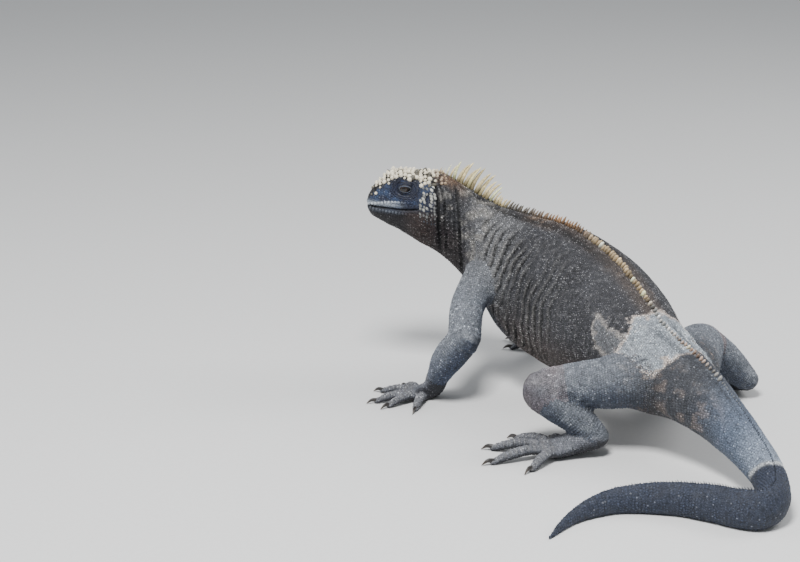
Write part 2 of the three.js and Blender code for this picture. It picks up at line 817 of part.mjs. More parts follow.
function makeLeg(leg, trunk) {
  const kind = footKinds[leg.kind];
  const prefix = leg.side + "_";
  const upperStations = [leg.root, leg.middle, leg.bend];
  const lowerStations = [{ ...leg.bend, radius: leg.bend.radius - kneeInset }, leg.lower, leg.end];
  const heading = THREE.MathUtils.degToRad(leg.sole.heading);
  const [soleX, soleY] = leg.sole.at;
  const forward = (reach, height) => [soleX + reach * Math.cos(heading), soleY + reach * Math.sin(heading), height];
  const { wide, deep } = kind.soleHalf;
  const soleStations = [
    { at: leg.end.at, wide: leg.end.radius, deep: leg.end.radius },
    { at: forward(-0.5 * wide, deep + 1.5), wide: wide * 0.85, deep },
    { at: forward(0.5 * wide, deep * 0.8 * soleSink), wide, deep: deep * 0.8 },
  ];
  const upper = (grow) => roundedLimb(upperStations, 14, grow);
  const lower = (grow) => roundedLimb(lowerStations, 12, grow);
  const digits = kind.digits.map((digit) => digitOf(leg, kind, digit));
  const foot = (grow) =>
    joined([
      roundedLimb(soleStations, 10, grow),
      ...digits.map(({ stations }) => roundedLimb(stations, digitSides, grow, slender)),
    ]);
  addPiece(prefix + kind.upperName, upper(0).subtract(trunk), skinColour, 0.8);
  addPiece(prefix + kind.lowerName, lower(0).subtract(trunk).subtract(upper(gap)), skinColour, 0.8);
  const clearFoot = foot(0).subtract(lower(gap)).subtract(upper(gap)).subtract(trunk);
  addPiece(prefix + kind.name, clearFoot, skinColour, 0.8);
  const grownDigits = digits.map(({ stations }) => roundedLimb(stations, digitSides, gap, slender));
  digits.forEach(({ claw }, i) => {
    addPiece(prefix + kind.name + "_claw_" + (i + 1), horned(claw).subtract(grownDigits[i]), clawColour, 0.35);
  });
}

makeHead();
makeEyes();
makeBody();
const trunk = grownTrunk();
for (const leg of legs) makeLeg(leg, trunk);

// The middle of the animal's own box stands over the origin.
const box = new THREE.Box3().setFromObject(animal);
const middle = box.getCenter(new THREE.Vector3());
animal.position.set(-middle.x, -middle.y, 0);

const part = new THREE.Group();
part.add(animal);
export default part;
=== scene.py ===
"""A life-size model of a marine iguana: its skin, scales, crest, lids, eyes and claws, in a plain studio."""

import math

import bmesh
import bpy
import numpy as np
from bpy.props import FloatProperty, FloatVectorProperty, IntProperty, PointerProperty
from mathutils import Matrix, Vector
from mathutils.bvhtree import BVHTree
from mathutils.kdtree import KDTree


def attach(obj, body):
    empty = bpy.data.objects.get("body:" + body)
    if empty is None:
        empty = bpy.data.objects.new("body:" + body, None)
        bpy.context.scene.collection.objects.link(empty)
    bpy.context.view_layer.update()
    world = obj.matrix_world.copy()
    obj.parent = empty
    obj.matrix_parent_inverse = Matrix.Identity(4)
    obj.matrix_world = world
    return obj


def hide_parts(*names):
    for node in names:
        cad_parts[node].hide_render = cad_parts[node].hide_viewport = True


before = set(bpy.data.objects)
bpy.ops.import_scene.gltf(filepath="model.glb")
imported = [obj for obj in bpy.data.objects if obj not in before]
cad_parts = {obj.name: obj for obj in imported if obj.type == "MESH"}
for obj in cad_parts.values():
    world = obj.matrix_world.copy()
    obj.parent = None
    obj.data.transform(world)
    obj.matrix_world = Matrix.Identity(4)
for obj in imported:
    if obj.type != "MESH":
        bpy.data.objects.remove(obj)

bl_info = {
    "name": "Marine Iguana",
    "version": (1, 0, 0),
    "blender": (4, 5, 0),
    "location": "3D View > Sidebar > Iguana",
    "description": "Skin, scales, crest, eyes and claws of a marine iguana over its solid model",
    "category": "Object",
}

# The animal's own measures are in millimetres, +X where the trunk faces, +Y to its left, +Z up.
MM = 0.001
TO_FRAME = np.array([-55.592, -23.799, 0.0])  # from the animal's own origin to the frame's

SNOUT = np.array([284.0, 63.0])
HEAD_TURN = math.radians(43.8)
HEAD_AXIS = np.array([math.cos(HEAD_TURN), math.sin(HEAD_TURN)])
HEAD_LEFT = np.array([-HEAD_AXIS[1], HEAD_AXIS[0]])
MOUTH_HEIGHT = 160.0
MOUTH_CORNER = 46.0
EYE = {"behind": 33.0, "out": 14.5, "height": 178.0, "radius": 7.0}
NOSTRIL = {"behind": 6.5, "angle": math.radians(58)}
EAR = {"behind": 55.0, "angle": math.radians(15)}

# behind the snout, up from the mouth, down from it, half the width
HEAD_RINGS = (
    (0, 6.5, 5, 5), (2, 10.5, 8.5, 9), (6, 15.5, 12, 13), (12, 22, 15.5, 16), (18, 27, 19, 18),
    (26, 29, 23, 20.5), (36, 28.5, 29.5, 23), (46, 28.5, 36, 25), (56, 28, 41, 25.5), (66, 27, 48, 24.5),
)
# x, y, height of the back, height of the belly, half the width
BODY_RINGS = (
    (224, 5, 178, 95, 26), (207, -6, 166, 75, 30), (186, -13, 159, 54, 36), (160, -16, 157, 39, 41.5),
    (130, -16.5, 156, 31, 45.5), (100, -14, 151, 27, 48), (70, -8, 143, 25, 48), (40, 2, 132, 25, 44.5),
    (12, 14, 118.5, 27, 39), (-14, 23, 104, 30, 34), (-42, 29.5, 94, 33, 27), (-67, 33, 83, 29, 22),
    (-93, 38.5, 67.5, 22, 18), (-117, 47, 54, 16, 15.5), (-140, 60, 44, 11, 13.8), (-158, 76, 37, 6, 12.6),
    (-166, 90, 33.5, 2, 11.8), (-163, 103, 31.5, -0.6, 11.2), (-150, 110, 30.5, -1, 11),
    (-132, 113.5, 29.5, -1, 10.6), (-109, 121, 27, -1, 9.8), (-87, 135, 24.5, -1, 8.8),
    (-70, 152, 21, -1, 7.6), (-61.5, 171, 17, -0.9, 6.1), (-59, 190, 12.5, -0.8, 4.6),
    (-61, 209, 8, -0.7, 3.2), (-66, 229, 2.4, -0.5, 1.3),
)
# place counted in body rings, length of the crest's spines there
CREST_LENGTHS = (
    (0, 5), (0.4, 11), (0.8, 16), (1.4, 18.5), (2, 18), (2.3, 12), (2.6, 8), (6, 7), (8, 6), (10, 4.5),
    (12, 4.5), (15, 5), (20, 4), (24, 2.4), (27, 1.2),
)
# folds of neck and shoulder: place behind the snout, width, depth
NECK_FOLDS = (
    (60.5, 1.5, 1.5), (65.5, 1.0, 1.1), (69.5, 0.9, 0.7), (73.5, 1.2, 1.0), (80, 2.2, 1.9),
    (87, 1.2, 0.6), (94, 1.3, 0.4), (101, 1.4, 0.3),
)
# root, middle and bend of the upper limb, lower limb and ankle: x, y, z, radius; then the sole
LEGS = (
    {
        "side": "left", "kind": "fore", "sole": (203, 75), "heading": 53,
        "upper": ((188, 14, 102, 18.5), (179, 46, 84, 15), (167, 64, 61, 15)),
        "lower": ((167, 64, 61, 14.2), (179, 71, 42, 14), (192, 70, 22, 10)),
    },
    {
        "side": "right", "kind": "fore", "sole": (210, -95), "heading": -32,
        "upper": ((192, -40, 102, 18.5), (182, -70, 84, 15), (170, -87, 61, 15)),
        "lower": ((170, -87, 61, 14.2), (182, -91, 42, 14), (196, -91, 22, 10)),
    },
    {
        "side": "left", "kind": "hind", "sole": (32, 92), "heading": 50,
        "upper": ((-12, 36, 62, 25), (24, 69, 57, 20), (52, 94, 51, 18.5)),
        "lower": ((52, 94, 51, 17.7), (35, 88, 40, 16.5), (12, 74, 17, 10)),
    },
    {
        "side": "right", "kind": "hind", "sole": (28, -133), "heading": -18,
        "upper": ((-26, 8, 64, 26), (0, -42, 64, 22), (20, -80, 56, 17.8)),
        "lower": ((20, -80, 56, 17), (13, -102, 38, 15.8), (2, -124, 17, 10)),
    },
)
# turn from the foot's heading in degrees and reach, for each digit
FEET = {
    "fore": {
        "wide": 13.5, "deep": 7.5, "digit": 4.1, "arch": 3.2, "claw": 9,
        "digits": ((-66, 39), (-31, 49), (6, 53), (27, 48), (66, 42)),
    },
    "hind": {
        "wide": 16, "deep": 9, "digit": 4.7, "arch": 4.5, "claw": 10,
        "digits": ((-80, 38), (-46, 58), (-16, 68), (13, 72), (45, 55)),
    },
}
FLESH = [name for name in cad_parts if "claw" not in name and not name.startswith("eye")]
CLAWS = [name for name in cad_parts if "claw" in name]

CAMERA_PLACE = np.array([-896.1, 1244.1, 598.5])
CAMERA_TURN = math.radians(44)
CAMERA_PITCH = math.radians(17)
CAMERA_PIXELS = 1951.0  # focal length in pixels of the picture
PICTURE_WIDTH = 800
SENSOR_WIDTH = 36
FLOOR_HALF = 9.0  # half the floor's side, in metres
HEAD_CHART = 84  # length of head and nape on the map of the head's scales
LID_ROLLS = 3.6  # rolls of skin from the opening of the lids to their outer edge

made = {}  # what later pieces need of the skin


def hue(*srgb):
    """A colour given as 0 to 255 screen values, in linear light."""
    share = np.array(srgb, float) / 255
    return np.where(share <= 0.04045, share / 12.92, ((share + 0.055) / 1.055) ** 2.4)


def smooth_step(low, high, x):
    """0 below low, 1 above high and an even curve between."""
    t = np.clip((np.asarray(x, float) - low) / (high - low), 0, 1)
    return t * t * (3 - 2 * t)


def smooth_fall(low, high, x):
    """1 below low, 0 above high and an even curve between."""
    return 1 - smooth_step(low, high, x)


def full_turn(count):
    """Even angles round a ring, from zero to one step short of a whole turn."""
    return np.linspace(0, 2 * math.pi, count, endpoint=False)


def bump(x, centre, width):
    """A round bump of height 1."""
    return np.exp(-(((x - centre) / width) ** 2))


def smooth_value(places, values, at):
    """A smooth curve through named stations, read at one or many places."""
    places = np.asarray(places, float)
    values = np.asarray(values, float)
    at = np.clip(np.asarray(at, float), places[0], places[-1])
    last = len(places) - 1
    i = np.clip(np.searchsorted(places, at) - 1, 0, last - 1)
    before = np.maximum(np.arange(last + 1) - 1, 0)
    after = np.minimum(np.arange(last + 1) + 1, last)
    slope = (values[after] - values[before]) / (places[after] - places[before])
    width = places[i + 1] - places[i]
    t = (at - places[i]) / width
    u = 1 - t
    return (
        values[i] * u * u * (1 + 2 * t)
        + values[i + 1] * t * t * (3 - 2 * t)
        + width * (slope[i] * t * u * u - slope[i + 1] * t * t * u)
    )


def cell_noise(points, size, seed=0):
    """Smooth noise from -1 to 1 whose cells have the given size."""
    scaled = np.asarray(points, float) / size + 13.7 + seed * 7.31
    cell = np.floor(scaled).astype(np.int64)
    share = scaled - cell
    share = share * share * (3 - 2 * share)
    total = np.zeros(len(scaled))
    for corner in range(8):
        step = np.array([corner & 1, corner >> 1 & 1, corner >> 2 & 1])
        key = (cell + step) @ np.array([73856093, 19349663, 83492791]) + seed * 10139
        key = (key ^ (key >> 13)) * 1274126177
        value = ((key ^ (key >> 16)) & 65535) / 32767.5 - 1
        total += value * np.prod(np.where(step, share, 1 - share), axis=1)
    return total


def rough_noise(points, size, seed=0):
    """Noise with three sizes of detail."""
    return (
        cell_noise(points, size, seed)
        + 0.5 * cell_noise(points, size / 2.1, seed + 1)
        + 0.25 * cell_noise(points, size / 4.3, seed + 2)
    ) / 1.4


def unit(vectors):
    """The vectors at length 1."""
    return vectors / np.maximum(np.linalg.norm(vectors, axis=-1, keepdims=True), 1e-9)


def body_table():
    """The rings of head and body in one row, as a column of numbers for each measure."""
    rows = []
    for behind, up, down, half in HEAD_RINGS:
        x, y = SNOUT - behind * HEAD_AXIS
        rows.append((x, y, MOUTH_HEIGHT + up, MOUTH_HEIGHT, MOUTH_HEIGHT - down, half, 2.6, 1.7))
    for i, (x, y, back, belly, half) in enumerate(BODY_RINGS):
        tail = float(smooth_step(8, 13, i))
        neck = float(smooth_step(0, 3, i + 1))
        middle = belly + (back - belly) * (0.62 + (0.47 - 0.62) * neck)
        trunk_power = 2.3 + (1.9 - 2.3) * neck
        up_power = trunk_power + (1.55 - trunk_power) * tail
        rows.append((x, y, back, middle, belly, half, up_power, 1.7 + (2.4 - 1.7) * neck))
    table = np.array(rows)
    places = np.concatenate([[0], np.cumsum(np.hypot(np.diff(table[:, 0]), np.diff(table[:, 1])))])
    return places, table


PLACES, TABLE = body_table()
HEAD_END = PLACES[len(HEAD_RINGS) - 1]
BODY_END = PLACES[-1]


def place_of_ring(rings):
    """The distance along the body of a place counted in body rings."""
    return float(np.interp(rings + len(HEAD_RINGS) - 1, np.arange(len(PLACES)), PLACES))


def ring_of_place(place):
    """The number of a body ring, with its fraction, at a place behind the snout."""
    return np.interp(place, PLACES, np.arange(len(PLACES))) - (len(HEAD_RINGS) - 1)


def body_points(place, angle, grow=0.0):
    """Points of the body's surface. An angle of 0 is the animal's left, and a quarter turn is its back."""
    place = np.asarray(place, float)
    read = lambda column, at=place: smooth_value(PLACES, TABLE[:, column], at)
    before = np.maximum(place - 0.5, 0)
    after = np.minimum(place + 0.5, BODY_END)
    along = unit(np.stack([read(0, after) - read(0, before), read(1, after) - read(1, before)], -1))
    side = np.stack([along[..., 1], -along[..., 0]], -1)
    across, rise = np.cos(angle), np.sin(angle)
    power = 2 / np.where(rise >= 0, read(6), read(7))
    wide = np.sign(across) * np.abs(across) ** power * (read(5) + grow)
    height = np.where(rise >= 0, read(2) - read(3), read(3) - read(4)) + grow
    high = np.sign(rise) * np.abs(rise) ** power * height
    flat = np.stack([read(0), read(1)], -1) + side * wide[..., None]
    return np.concatenate([flat, (read(3) + high)[..., None]], -1)


def curve_points(stations, count):
    """Evenly shared points of a smooth line through the stations."""
    p = np.array(stations, float)
    line = np.vstack([2 * p[0] - p[1], p, 2 * p[-1] - p[-2]])
    points = []
    for share in np.linspace(0, 1, count):
        at = share * (len(p) - 1)
        i = min(int(at), len(p) - 2)
        w = at - i
        a, b, c, d = line[i : i + 4]
        ab, bc, cd = (math.sqrt(max(np.linalg.norm(q - r), 1e-6)) for q, r in ((b, a), (c, b), (d, c)))
        start = bc * ((b - a) / ab - (c - a) / (ab + bc) + (c - b) / bc)
        end = bc * ((c - b) / bc - (d - b) / (bc + cd) + (d - c) / cd)
        points.append(
            (2 * w**3 - 3 * w**2 + 1) * b + (w**3 - 2 * w**2 + w) * start
            + (3 * w**2 - 2 * w**3) * c + (w**3 - w**2) * end
        )
    return np.array(points)


class Tube:
    """A limb with round ends: a smooth line, its half sizes and a frame that turns with it."""

    def __init__(self, kind, leg, stations, count=33):
        """Reads stations of x, y, z, half width and, where it differs, half height."""
        self.kind, self.leg = kind, leg
        shares = np.linspace(0, 1, len(stations))
        self.share = np.linspace(0, 1, count)
        self.line = curve_points([s[:3] for s in stations], count)
        self.wide = smooth_value(shares, [s[3] for s in stations], self.share)
        self.deep = smooth_value(shares, [s[-1] for s in stations], self.share)
        self.along = unit(np.gradient(self.line, axis=0))
        self.length = float(np.linalg.norm(np.diff(self.line, axis=0), axis=1).sum())
        upright = np.array([1.0, 0, 0]) if abs(self.along[0][2]) > 0.9 else np.array([0, 0, 1.0])
        side = np.cross(upright, self.along[0])
        self.side = []
        for along in self.along:
            side = unit(side - along * (side @ along))
            self.side.append(side)
        self.side = np.array(self.side)
        self.up = np.cross(self.along, self.side)

    def at(self, share, values):
        """One of the tube's columns read at shares of its length."""
        if values.ndim == 1:
            return np.interp(share, self.share, values)
        return np.stack([np.interp(share, self.share, values[:, k]) for k in range(3)], -1)

    def points(self, share, angle, grow=0.0):
        """Points of the tube's surface."""
        share = np.asarray(share, float)
        wide = (self.at(share, self.wide) + grow) * np.cos(angle)
        deep = (self.at(share, self.deep) + grow) * np.sin(angle)
        middle = self.at(share, self.line)
        return middle + self.at(share, self.side) * wide[:, None] + self.at(share, self.up) * deep[:, None]

    def rings(self, sides, grow):
        """Closed rings from one round end to the other."""
        turn = full_turn(sides)
        caps = np.radians([78, 55, 30])
        rings = []
        for end, way in ((0, -1), (-1, 1)):
            reach = min(self.wide[end], self.deep[end]) + grow
            cap = []
            for lift in caps:
                centre = self.line[end] + way * self.along[end] * reach * math.sin(lift)
                wide = (self.wide[end] + grow) * math.cos(lift)
                deep = (self.deep[end] + grow) * math.cos(lift)
                across = np.outer(np.cos(turn) * wide, self.side[end])
                cap.append(centre + across + np.outer(np.sin(turn) * deep, self.up[end]))
            rings.append(cap if way < 0 else cap[::-1])
        body = [self.points(np.full(sides, s), turn, grow) for s in self.share]
        return rings[0] + body + rings[1]


def foot_tubes(leg_number):
    """The limb, sole and digits of one leg as tubes, and the tubes of its claws."""
    leg = LEGS[leg_number]
    kind = FEET[leg["kind"]]
    heading = math.radians(leg["heading"])
    sole = np.array(leg["sole"], float)

    def ahead(reach, height, turn=heading):
        return (*(sole + reach * np.array([math.cos(turn), math.sin(turn)])), height)

    wide, deep = kind["wide"], kind["deep"]
    ankle = leg["lower"][-1]
    tubes = [
        Tube("upper", leg_number, [(*s, s[3]) for s in leg["upper"]]),
        Tube("lower", leg_number, [(*s, s[3]) for s in leg["lower"]]),
        Tube(
            "sole",
            leg_number,
            [
                (*ankle, ankle[3]),
                (*ahead(-0.5 * wide, deep + 1.5), wide * 0.85, deep),
                (*ahead(0.5 * wide, deep * 0.67), wide, deep * 0.8),
            ],
        ),
    ]
    claws = []
    outward = 1 if leg["side"] == "left" else -1
    radius = kind["digit"]
    end = radius * 0.55
    for turn, reach in kind["digits"]:
        way = heading + outward * math.radians(turn)
        flesh = reach - kind["claw"]
        base = radius * 0.84
        tubes.append(
            Tube(
                "digit",
                leg_number,
                [
                    (*ahead(3, base, way), radius, radius),
                    (*ahead(flesh * 0.5, base + kind["arch"], way), radius * 0.88, radius * 0.88),
                    (*ahead(flesh * 0.78, base + 0.5 * kind["arch"], way), radius * 0.8, radius * 0.8),
                    (*ahead(flesh, end * 0.84, way), end, end),
                ],
            )
        )
        claws.append(
            Tube(
                "claw",
                leg_number,
                [
                    (*ahead(flesh - 2.5, end * 1.15, way), end * 0.8, end * 0.85),
                    (*ahead(flesh + 0.4 * kind["claw"], end * 1.55, way), end * 0.5, end * 0.68),
                    (*ahead(reach - 0.6, 0.75, way), 0.22, 0.3),
                ],
            )
        )
    return tubes, claws


def closed_loft(rings):
    """Points and faces of a closed skin over rings of the same count, faces outward."""
    sides = len(rings[0])
    points = np.vstack([*rings, rings[0].mean(0)[None], rings[-1].mean(0)[None]])
    faces = []
    for i in range(len(rings) - 1):
        for j in range(sides):
            k = (j + 1) % sides
            faces.append((i * sides + j, i * sides + k, (i + 1) * sides + k, (i + 1) * sides + j))
    first, last, end = len(points) - 2, len(points) - 1, (len(rings) - 1) * sides
    for j in range(sides):
        k = (j + 1) % sides
        faces.append((first, k, j))
        faces.append((last, end + j, end + k))
    volume = sum(np.dot(points[f[0]], np.cross(points[f[1]], points[f[2]])) for f in faces)
    volume += sum(np.dot(points[f[0]], np.cross(points[f[2]], points[f[3]])) for f in faces if len(f) == 4)
    if volume < 0:
        faces = [tuple(reversed(face)) for face in faces]
    return points, faces


def joined_shapes(shapes):
    """Several closed shapes as one list of points and one of faces."""
    points, faces, start = [], [], 0
    for shape_points, shape_faces in shapes:
        points.append(shape_points)
        faces += [tuple(i + start for i in face) for face in shape_faces]
        start += len(shape_points)
    return np.vstack(points), faces


def mesh_object(name, points, faces=()):
    """A new mesh object, its points given in the animal's own millimetres."""
    mesh = bpy.data.meshes.new(name)
    mesh.from_pydata(((np.asarray(points) + TO_FRAME) * MM).tolist(), [], list(faces))
    mesh.update()
    piece = bpy.data.objects.new(name, mesh)
    bpy.context.scene.collection.objects.link(piece)
    return piece


def mesh_columns(mesh):
    """A mesh's points in the animal's millimetres, its normals and its edges."""
    points = np.zeros(len(mesh.vertices) * 3)
    mesh.vertices.foreach_get("co", points)
    normals = np.zeros(len(mesh.vertices) * 3)
    mesh.vertices.foreach_get("normal", normals)
    edges = np.zeros(len(mesh.edges) * 2, int)
    mesh.edges.foreach_get("vertices", edges)
    return points.reshape(-1, 3) / MM - TO_FRAME, normals.reshape(-1, 3), edges.reshape(-1, 2)


def set_points(mesh, points):
    """Moves a mesh's points to places given in the animal's millimetres."""
    mesh.vertices.foreach_set("co", ((points + TO_FRAME) * MM).ravel())
    mesh.update()


def relaxed(points, edges, weight, rounds, swell=0.0):
    """The points evened out, with a second opposite step where the form must not shrink."""
    count = np.maximum(np.bincount(edges.ravel(), minlength=len(points)), 1)[:, None]
    for _ in range(rounds):
        for step in (weight, -swell * weight) if swell else (weight,):
            total = np.stack(
                [
                    np.bincount(edges[:, 0], points[edges[:, 1], k], len(points))
                    + np.bincount(edges[:, 1], points[edges[:, 0], k], len(points))
                    for k in range(3)
                ],
                -1,
            )
            points = points + (total / count - points) * step[:, None]
    return points


def show_smooth(mesh):
    """Shades every face smooth."""
    mesh.polygons.foreach_set("use_smooth", np.ones(len(mesh.polygons), bool))
    mesh.update()


class Survey:
    """Finds which part of the animal a point belongs to, and its place and angle there."""

    def __init__(self, tubes):
        """Samples the body and every tube."""
        place, angle = np.meshgrid(
            np.linspace(0.3, BODY_END, 520), full_turn(72), indexing="ij"
        )
        place, angle = place.ravel(), angle.ravel()
        points = [body_points(place, angle)]
        rows = [np.stack([np.full(len(place), -1.0), place, angle], -1)]
        for number, tube in enumerate(tubes):
            share, turn = np.meshgrid(
                np.linspace(0, 1, max(6, int(tube.length / 2))), full_turn(24), indexing="ij"
            )
            share, turn = share.ravel(), turn.ravel()
            points.append(tube.points(share, turn))
            rows.append(np.stack([np.full(len(share), float(number)), share, turn], -1))
        self.body_count = len(points[0])
        self.rows = np.vstack(rows)
        self.tree = self.grown(np.vstack(points))
        self.body_tree = self.grown(points[0])
        self.tube_tree = self.grown(np.vstack(points[1:]))

    @staticmethod
    def grown(points):
        """A search tree over the points."""
        tree = KDTree(len(points))
        for i, point in enumerate(points):
            tree.insert(point, i)
        tree.balance()
        return tree

    def read(self, points):
        """For each point: the tube's number or -1 for the body, the place along it and the angle."""
        return self.rows[[self.tree.find(point)[1] for point in points]]

    def hollows(self, points, part, tubes):
        """1 deep in the fold behind a bent knee or elbow, 0 elsewhere."""
        depth = np.zeros(len(points))
        for number, tube in enumerate(tubes):
            if tube.kind != "upper":
                continue
            trees = []
            for side in (number, number + 1):
                rows = np.where(self.rows[:, 0] == side)[0]
                shares, turns = self.rows[rows, 1], self.rows[rows, 2]
                trees.append((self.grown(tubes[side].points(shares, turns)), shares))
            for i in np.where((part == number) | (part == number + 1))[0]:
                (_, upper, far_upper), (_, lower, far_lower) = (tree.find(points[i]) for tree, _ in trees)
                if trees[0][1][upper] < 0.84 and trees[1][1][lower] > 0.16:
                    depth[i] = math.exp(-(((far_upper - far_lower) / 2.6) ** 2))
        return depth

    def seam(self, points, reach):
        """1 where a limb meets the body, 0 elsewhere."""
        weight = np.zeros(len(points))
        for i, point in enumerate(points):
            body = self.body_tree.find(point)[2]
            if body < reach:
                limb = self.tube_tree.find(point)[2]
                weight[i] = (1 - body / reach) * max(0.0, 1 - limb / reach)
        return np.clip(weight * 2.2, 0, 1)


def upright_angle(angle):
    """The angle up from the side, from -90 degrees at the belly to 90 at the back, the same on both sides."""
    return np.degrees(np.arcsin(np.clip(np.sin(angle), -1, 1)))


def head_places(points):
    """Distance behind the snout, distance out from the head's middle and height."""
    flat = points[:, :2] - SNOUT
    return -(flat @ HEAD_AXIS), flat @ HEAD_LEFT, points[:, 2]


def eye_spread(points):
    """Distance from the nearer eye's middle as seen from the side, in millimetres of its long axis."""
    behind, _, height = head_places(points)
    return np.hypot(behind - EYE["behind"], (height - EYE["height"]) * 1.45)


def creases(phase, width):
    """Narrow grooves at whole numbers of the phase."""
    off = np.abs(phase - np.round(phase))
    return np.exp(-((off / width) ** 2))


def neck_folds(points, place, rise):
    """Depth of the folds of neck and shoulder, from 0 to 1 and more in the deepest; it also weighs the
    painted shade in them.
    """
    wander = 2.2 * cell_noise(points, 26, 3)
    side = smooth_step(-75, -45, rise) * smooth_fall(52, 78, rise)
    depth = np.zeros(len(points))
    for at, width, deep in NECK_FOLDS:
        lean = -0.05 * (rise - 10)
        depth = np.maximum(depth, deep * bump(place + wander * 0.7, at + lean, width))
    return depth * side


def flank_folds(points, place, rise):
    """Depth of the folds that rise from the armpit and belly over the flank, and the ridges behind them; they
    also weigh the painted shade in the folds and the painted light on the ridges.
    """
    wander = cell_noise(points, 30, 5) + 0.5 * cell_noise(points, 13, 6)
    lean = 0.4 - 0.24 * smooth_step(140, 215, place)
    phase = (place - lean * rise) / 10.2 + 0.62 * wander
    strength = smooth_step(112, 130, place + 0.25 * rise) * smooth_fall(196, 246, place - 0.1 * rise)
    strength = strength * smooth_step(-62, -34, rise) * smooth_fall(38, 76, rise)
    varied = np.clip(0.66 + 0.8 * cell_noise(points, 21, 8), 0.06, 1)
    strength = strength * varied
    return creases(phase, 0.13) * strength, creases(phase + 0.27, 0.11) * strength


def relief(points, part, place, angle, tubes):
    """How far the skin stands out or in, in millimetres."""
    rise = upright_angle(angle)
    on_body = part < 0
    behind, _, height = head_places(points)
    head = on_body & (place < HEAD_END + 4)
    offset = 0.18 * cell_noise(points, 4, 11) + 0.35 * cell_noise(points, 15, 12)

    face = np.where(head, 1.0, 0.0)
    mouth = face * smooth_fall(MOUTH_CORNER - 5, MOUTH_CORNER + 1, behind)
    line = MOUTH_HEIGHT + 0.5 * np.sin(behind * 0.16)
    offset -= mouth * 1.9 * bump(height, line, 0.75)
    plates = 0.7 + 0.3 * np.cos(behind * 2 * math.pi / 3.1)
    offset += mouth * 0.85 * bump(height, line + 2.5, 1.7) * plates
    offset += mouth * 0.6 * bump(height, line - 2.4, 1.6) * plates
    corner = face * bump(behind, MOUTH_CORNER + 1.5, 3.5) * bump(height, line - 0.5, 4)
    offset -= 0.8 * corner

    around = eye_spread(points)
    orbit = face * smooth_fall(12, 18, around)
    offset -= 1.7 * orbit * (1 - smooth_step(4, 16, around) * 0.75)
    offset += orbit * 0.32 * np.cos(around * 2 * math.pi / 2.5) * smooth_step(7, 9, around)
    offset += face * 1.5 * bump(behind, 31, 13) * bump(height, EYE["height"] + 9, 2.8)
    offset += face * 0.8 * bump(behind, 33, 10) * bump(height, EYE["height"] - 9.5, 2.4)
    offset += face * 1.3 * bump(behind, 48, 8) * bump(height, 149, 10)
    offset -= face * 0.9 * bump(behind, 20, 7) * bump(height, 170, 5)

    for sign in (1, -1):
        turn = NOSTRIL["angle"] if sign > 0 else math.pi - NOSTRIL["angle"]
        nostril = body_points([NOSTRIL["behind"]], np.array([turn]))[0]
        away = np.linalg.norm(points - nostril, axis=1)
        offset += face * (0.9 * bump(away, 3.1, 1.1) - 2.6 * bump(away, 0, 1.6))
        turn = EAR["angle"] if sign > 0 else math.pi - EAR["angle"]
        ear = body_points([EAR["behind"]], np.array([turn]))[0]
        away = np.linalg.norm((points - ear) * (1, 1, 0.8), axis=1)
        offset += on_body * (0.6 * bump(away, 5.6, 1.3) - 1.5 * smooth_fall(3.4, 5.2, away))

    neck = on_body & (place > 52) & (place < 125)
    offset -= np.where(neck, 1.7 * neck_folds(points, place, rise), 0)
    trunk = on_body & (place > 100) & (place < 300)
    groove, ridge = flank_folds(points, place, rise)
    offset += np.where(trunk, 0.55 * ridge - 2.1 * groove, 0)
    throat = on_body & (place > 20) & (place < 100)
    ripples = creases(rise / 9 + 0.4 * cell_noise(points, 12, 14), 0.2)
    offset -= np.where(throat, 0.5 * ripples * smooth_step(-30, -50, rise), 0)
    crest_side = on_body & (place > HEAD_END)
    offset -= np.where(crest_side, 0.7 * bump(rise, 80, 3.5) * smooth_fall(250, 330, place), 0)
    hip = on_body & (place > 270) & (place < 345)
    hips = creases(place / 9 + 0.5 * cell_noise(points, 14, 15), 0.18) * smooth_fall(-10, 20, rise)
    offset -= np.where(hip, 0.8 * hips, 0)

    for number, tube in enumerate(tubes):
        here = part == number
        if not here.any():
            continue
        run = place[here] * tube.length
        if tube.kind == "digit":
            knuckles = 0.22 * np.cos(run * 2 * math.pi / 5.5) + 0.08 * np.cos(run * 2 * math.pi / 1.9)
            offset[here] += knuckles * smooth_step(0.1, 0.3, place[here])
        elif tube.kind in ("upper", "lower"):
            bend = bump(place[here], 1.0 if tube.kind == "upper" else 0.0, 0.22)
            wrinkle = creases(run / 3.6 + 0.4 * cell_noise(points[here], 10, 17), 0.2)
            offset[here] -= 0.55 * bend * wrinkle
            offset[here] += 0.5 * cell_noise(points[here], 20, 18)
        elif tube.kind == "sole":
            tendon = np.cos(angle[here] * 5) * smooth_step(0.3, 0.8, place[here])
            offset[here] += 0.4 * tendon
    return offset


def mixed(colour, weight, other):
    """The colour turned towards another one by a weight for each point."""
    weight = np.clip(np.asarray(weight, float), 0, 1)[:, None]
    return colour * (1 - weight) + np.asarray(other) * weight


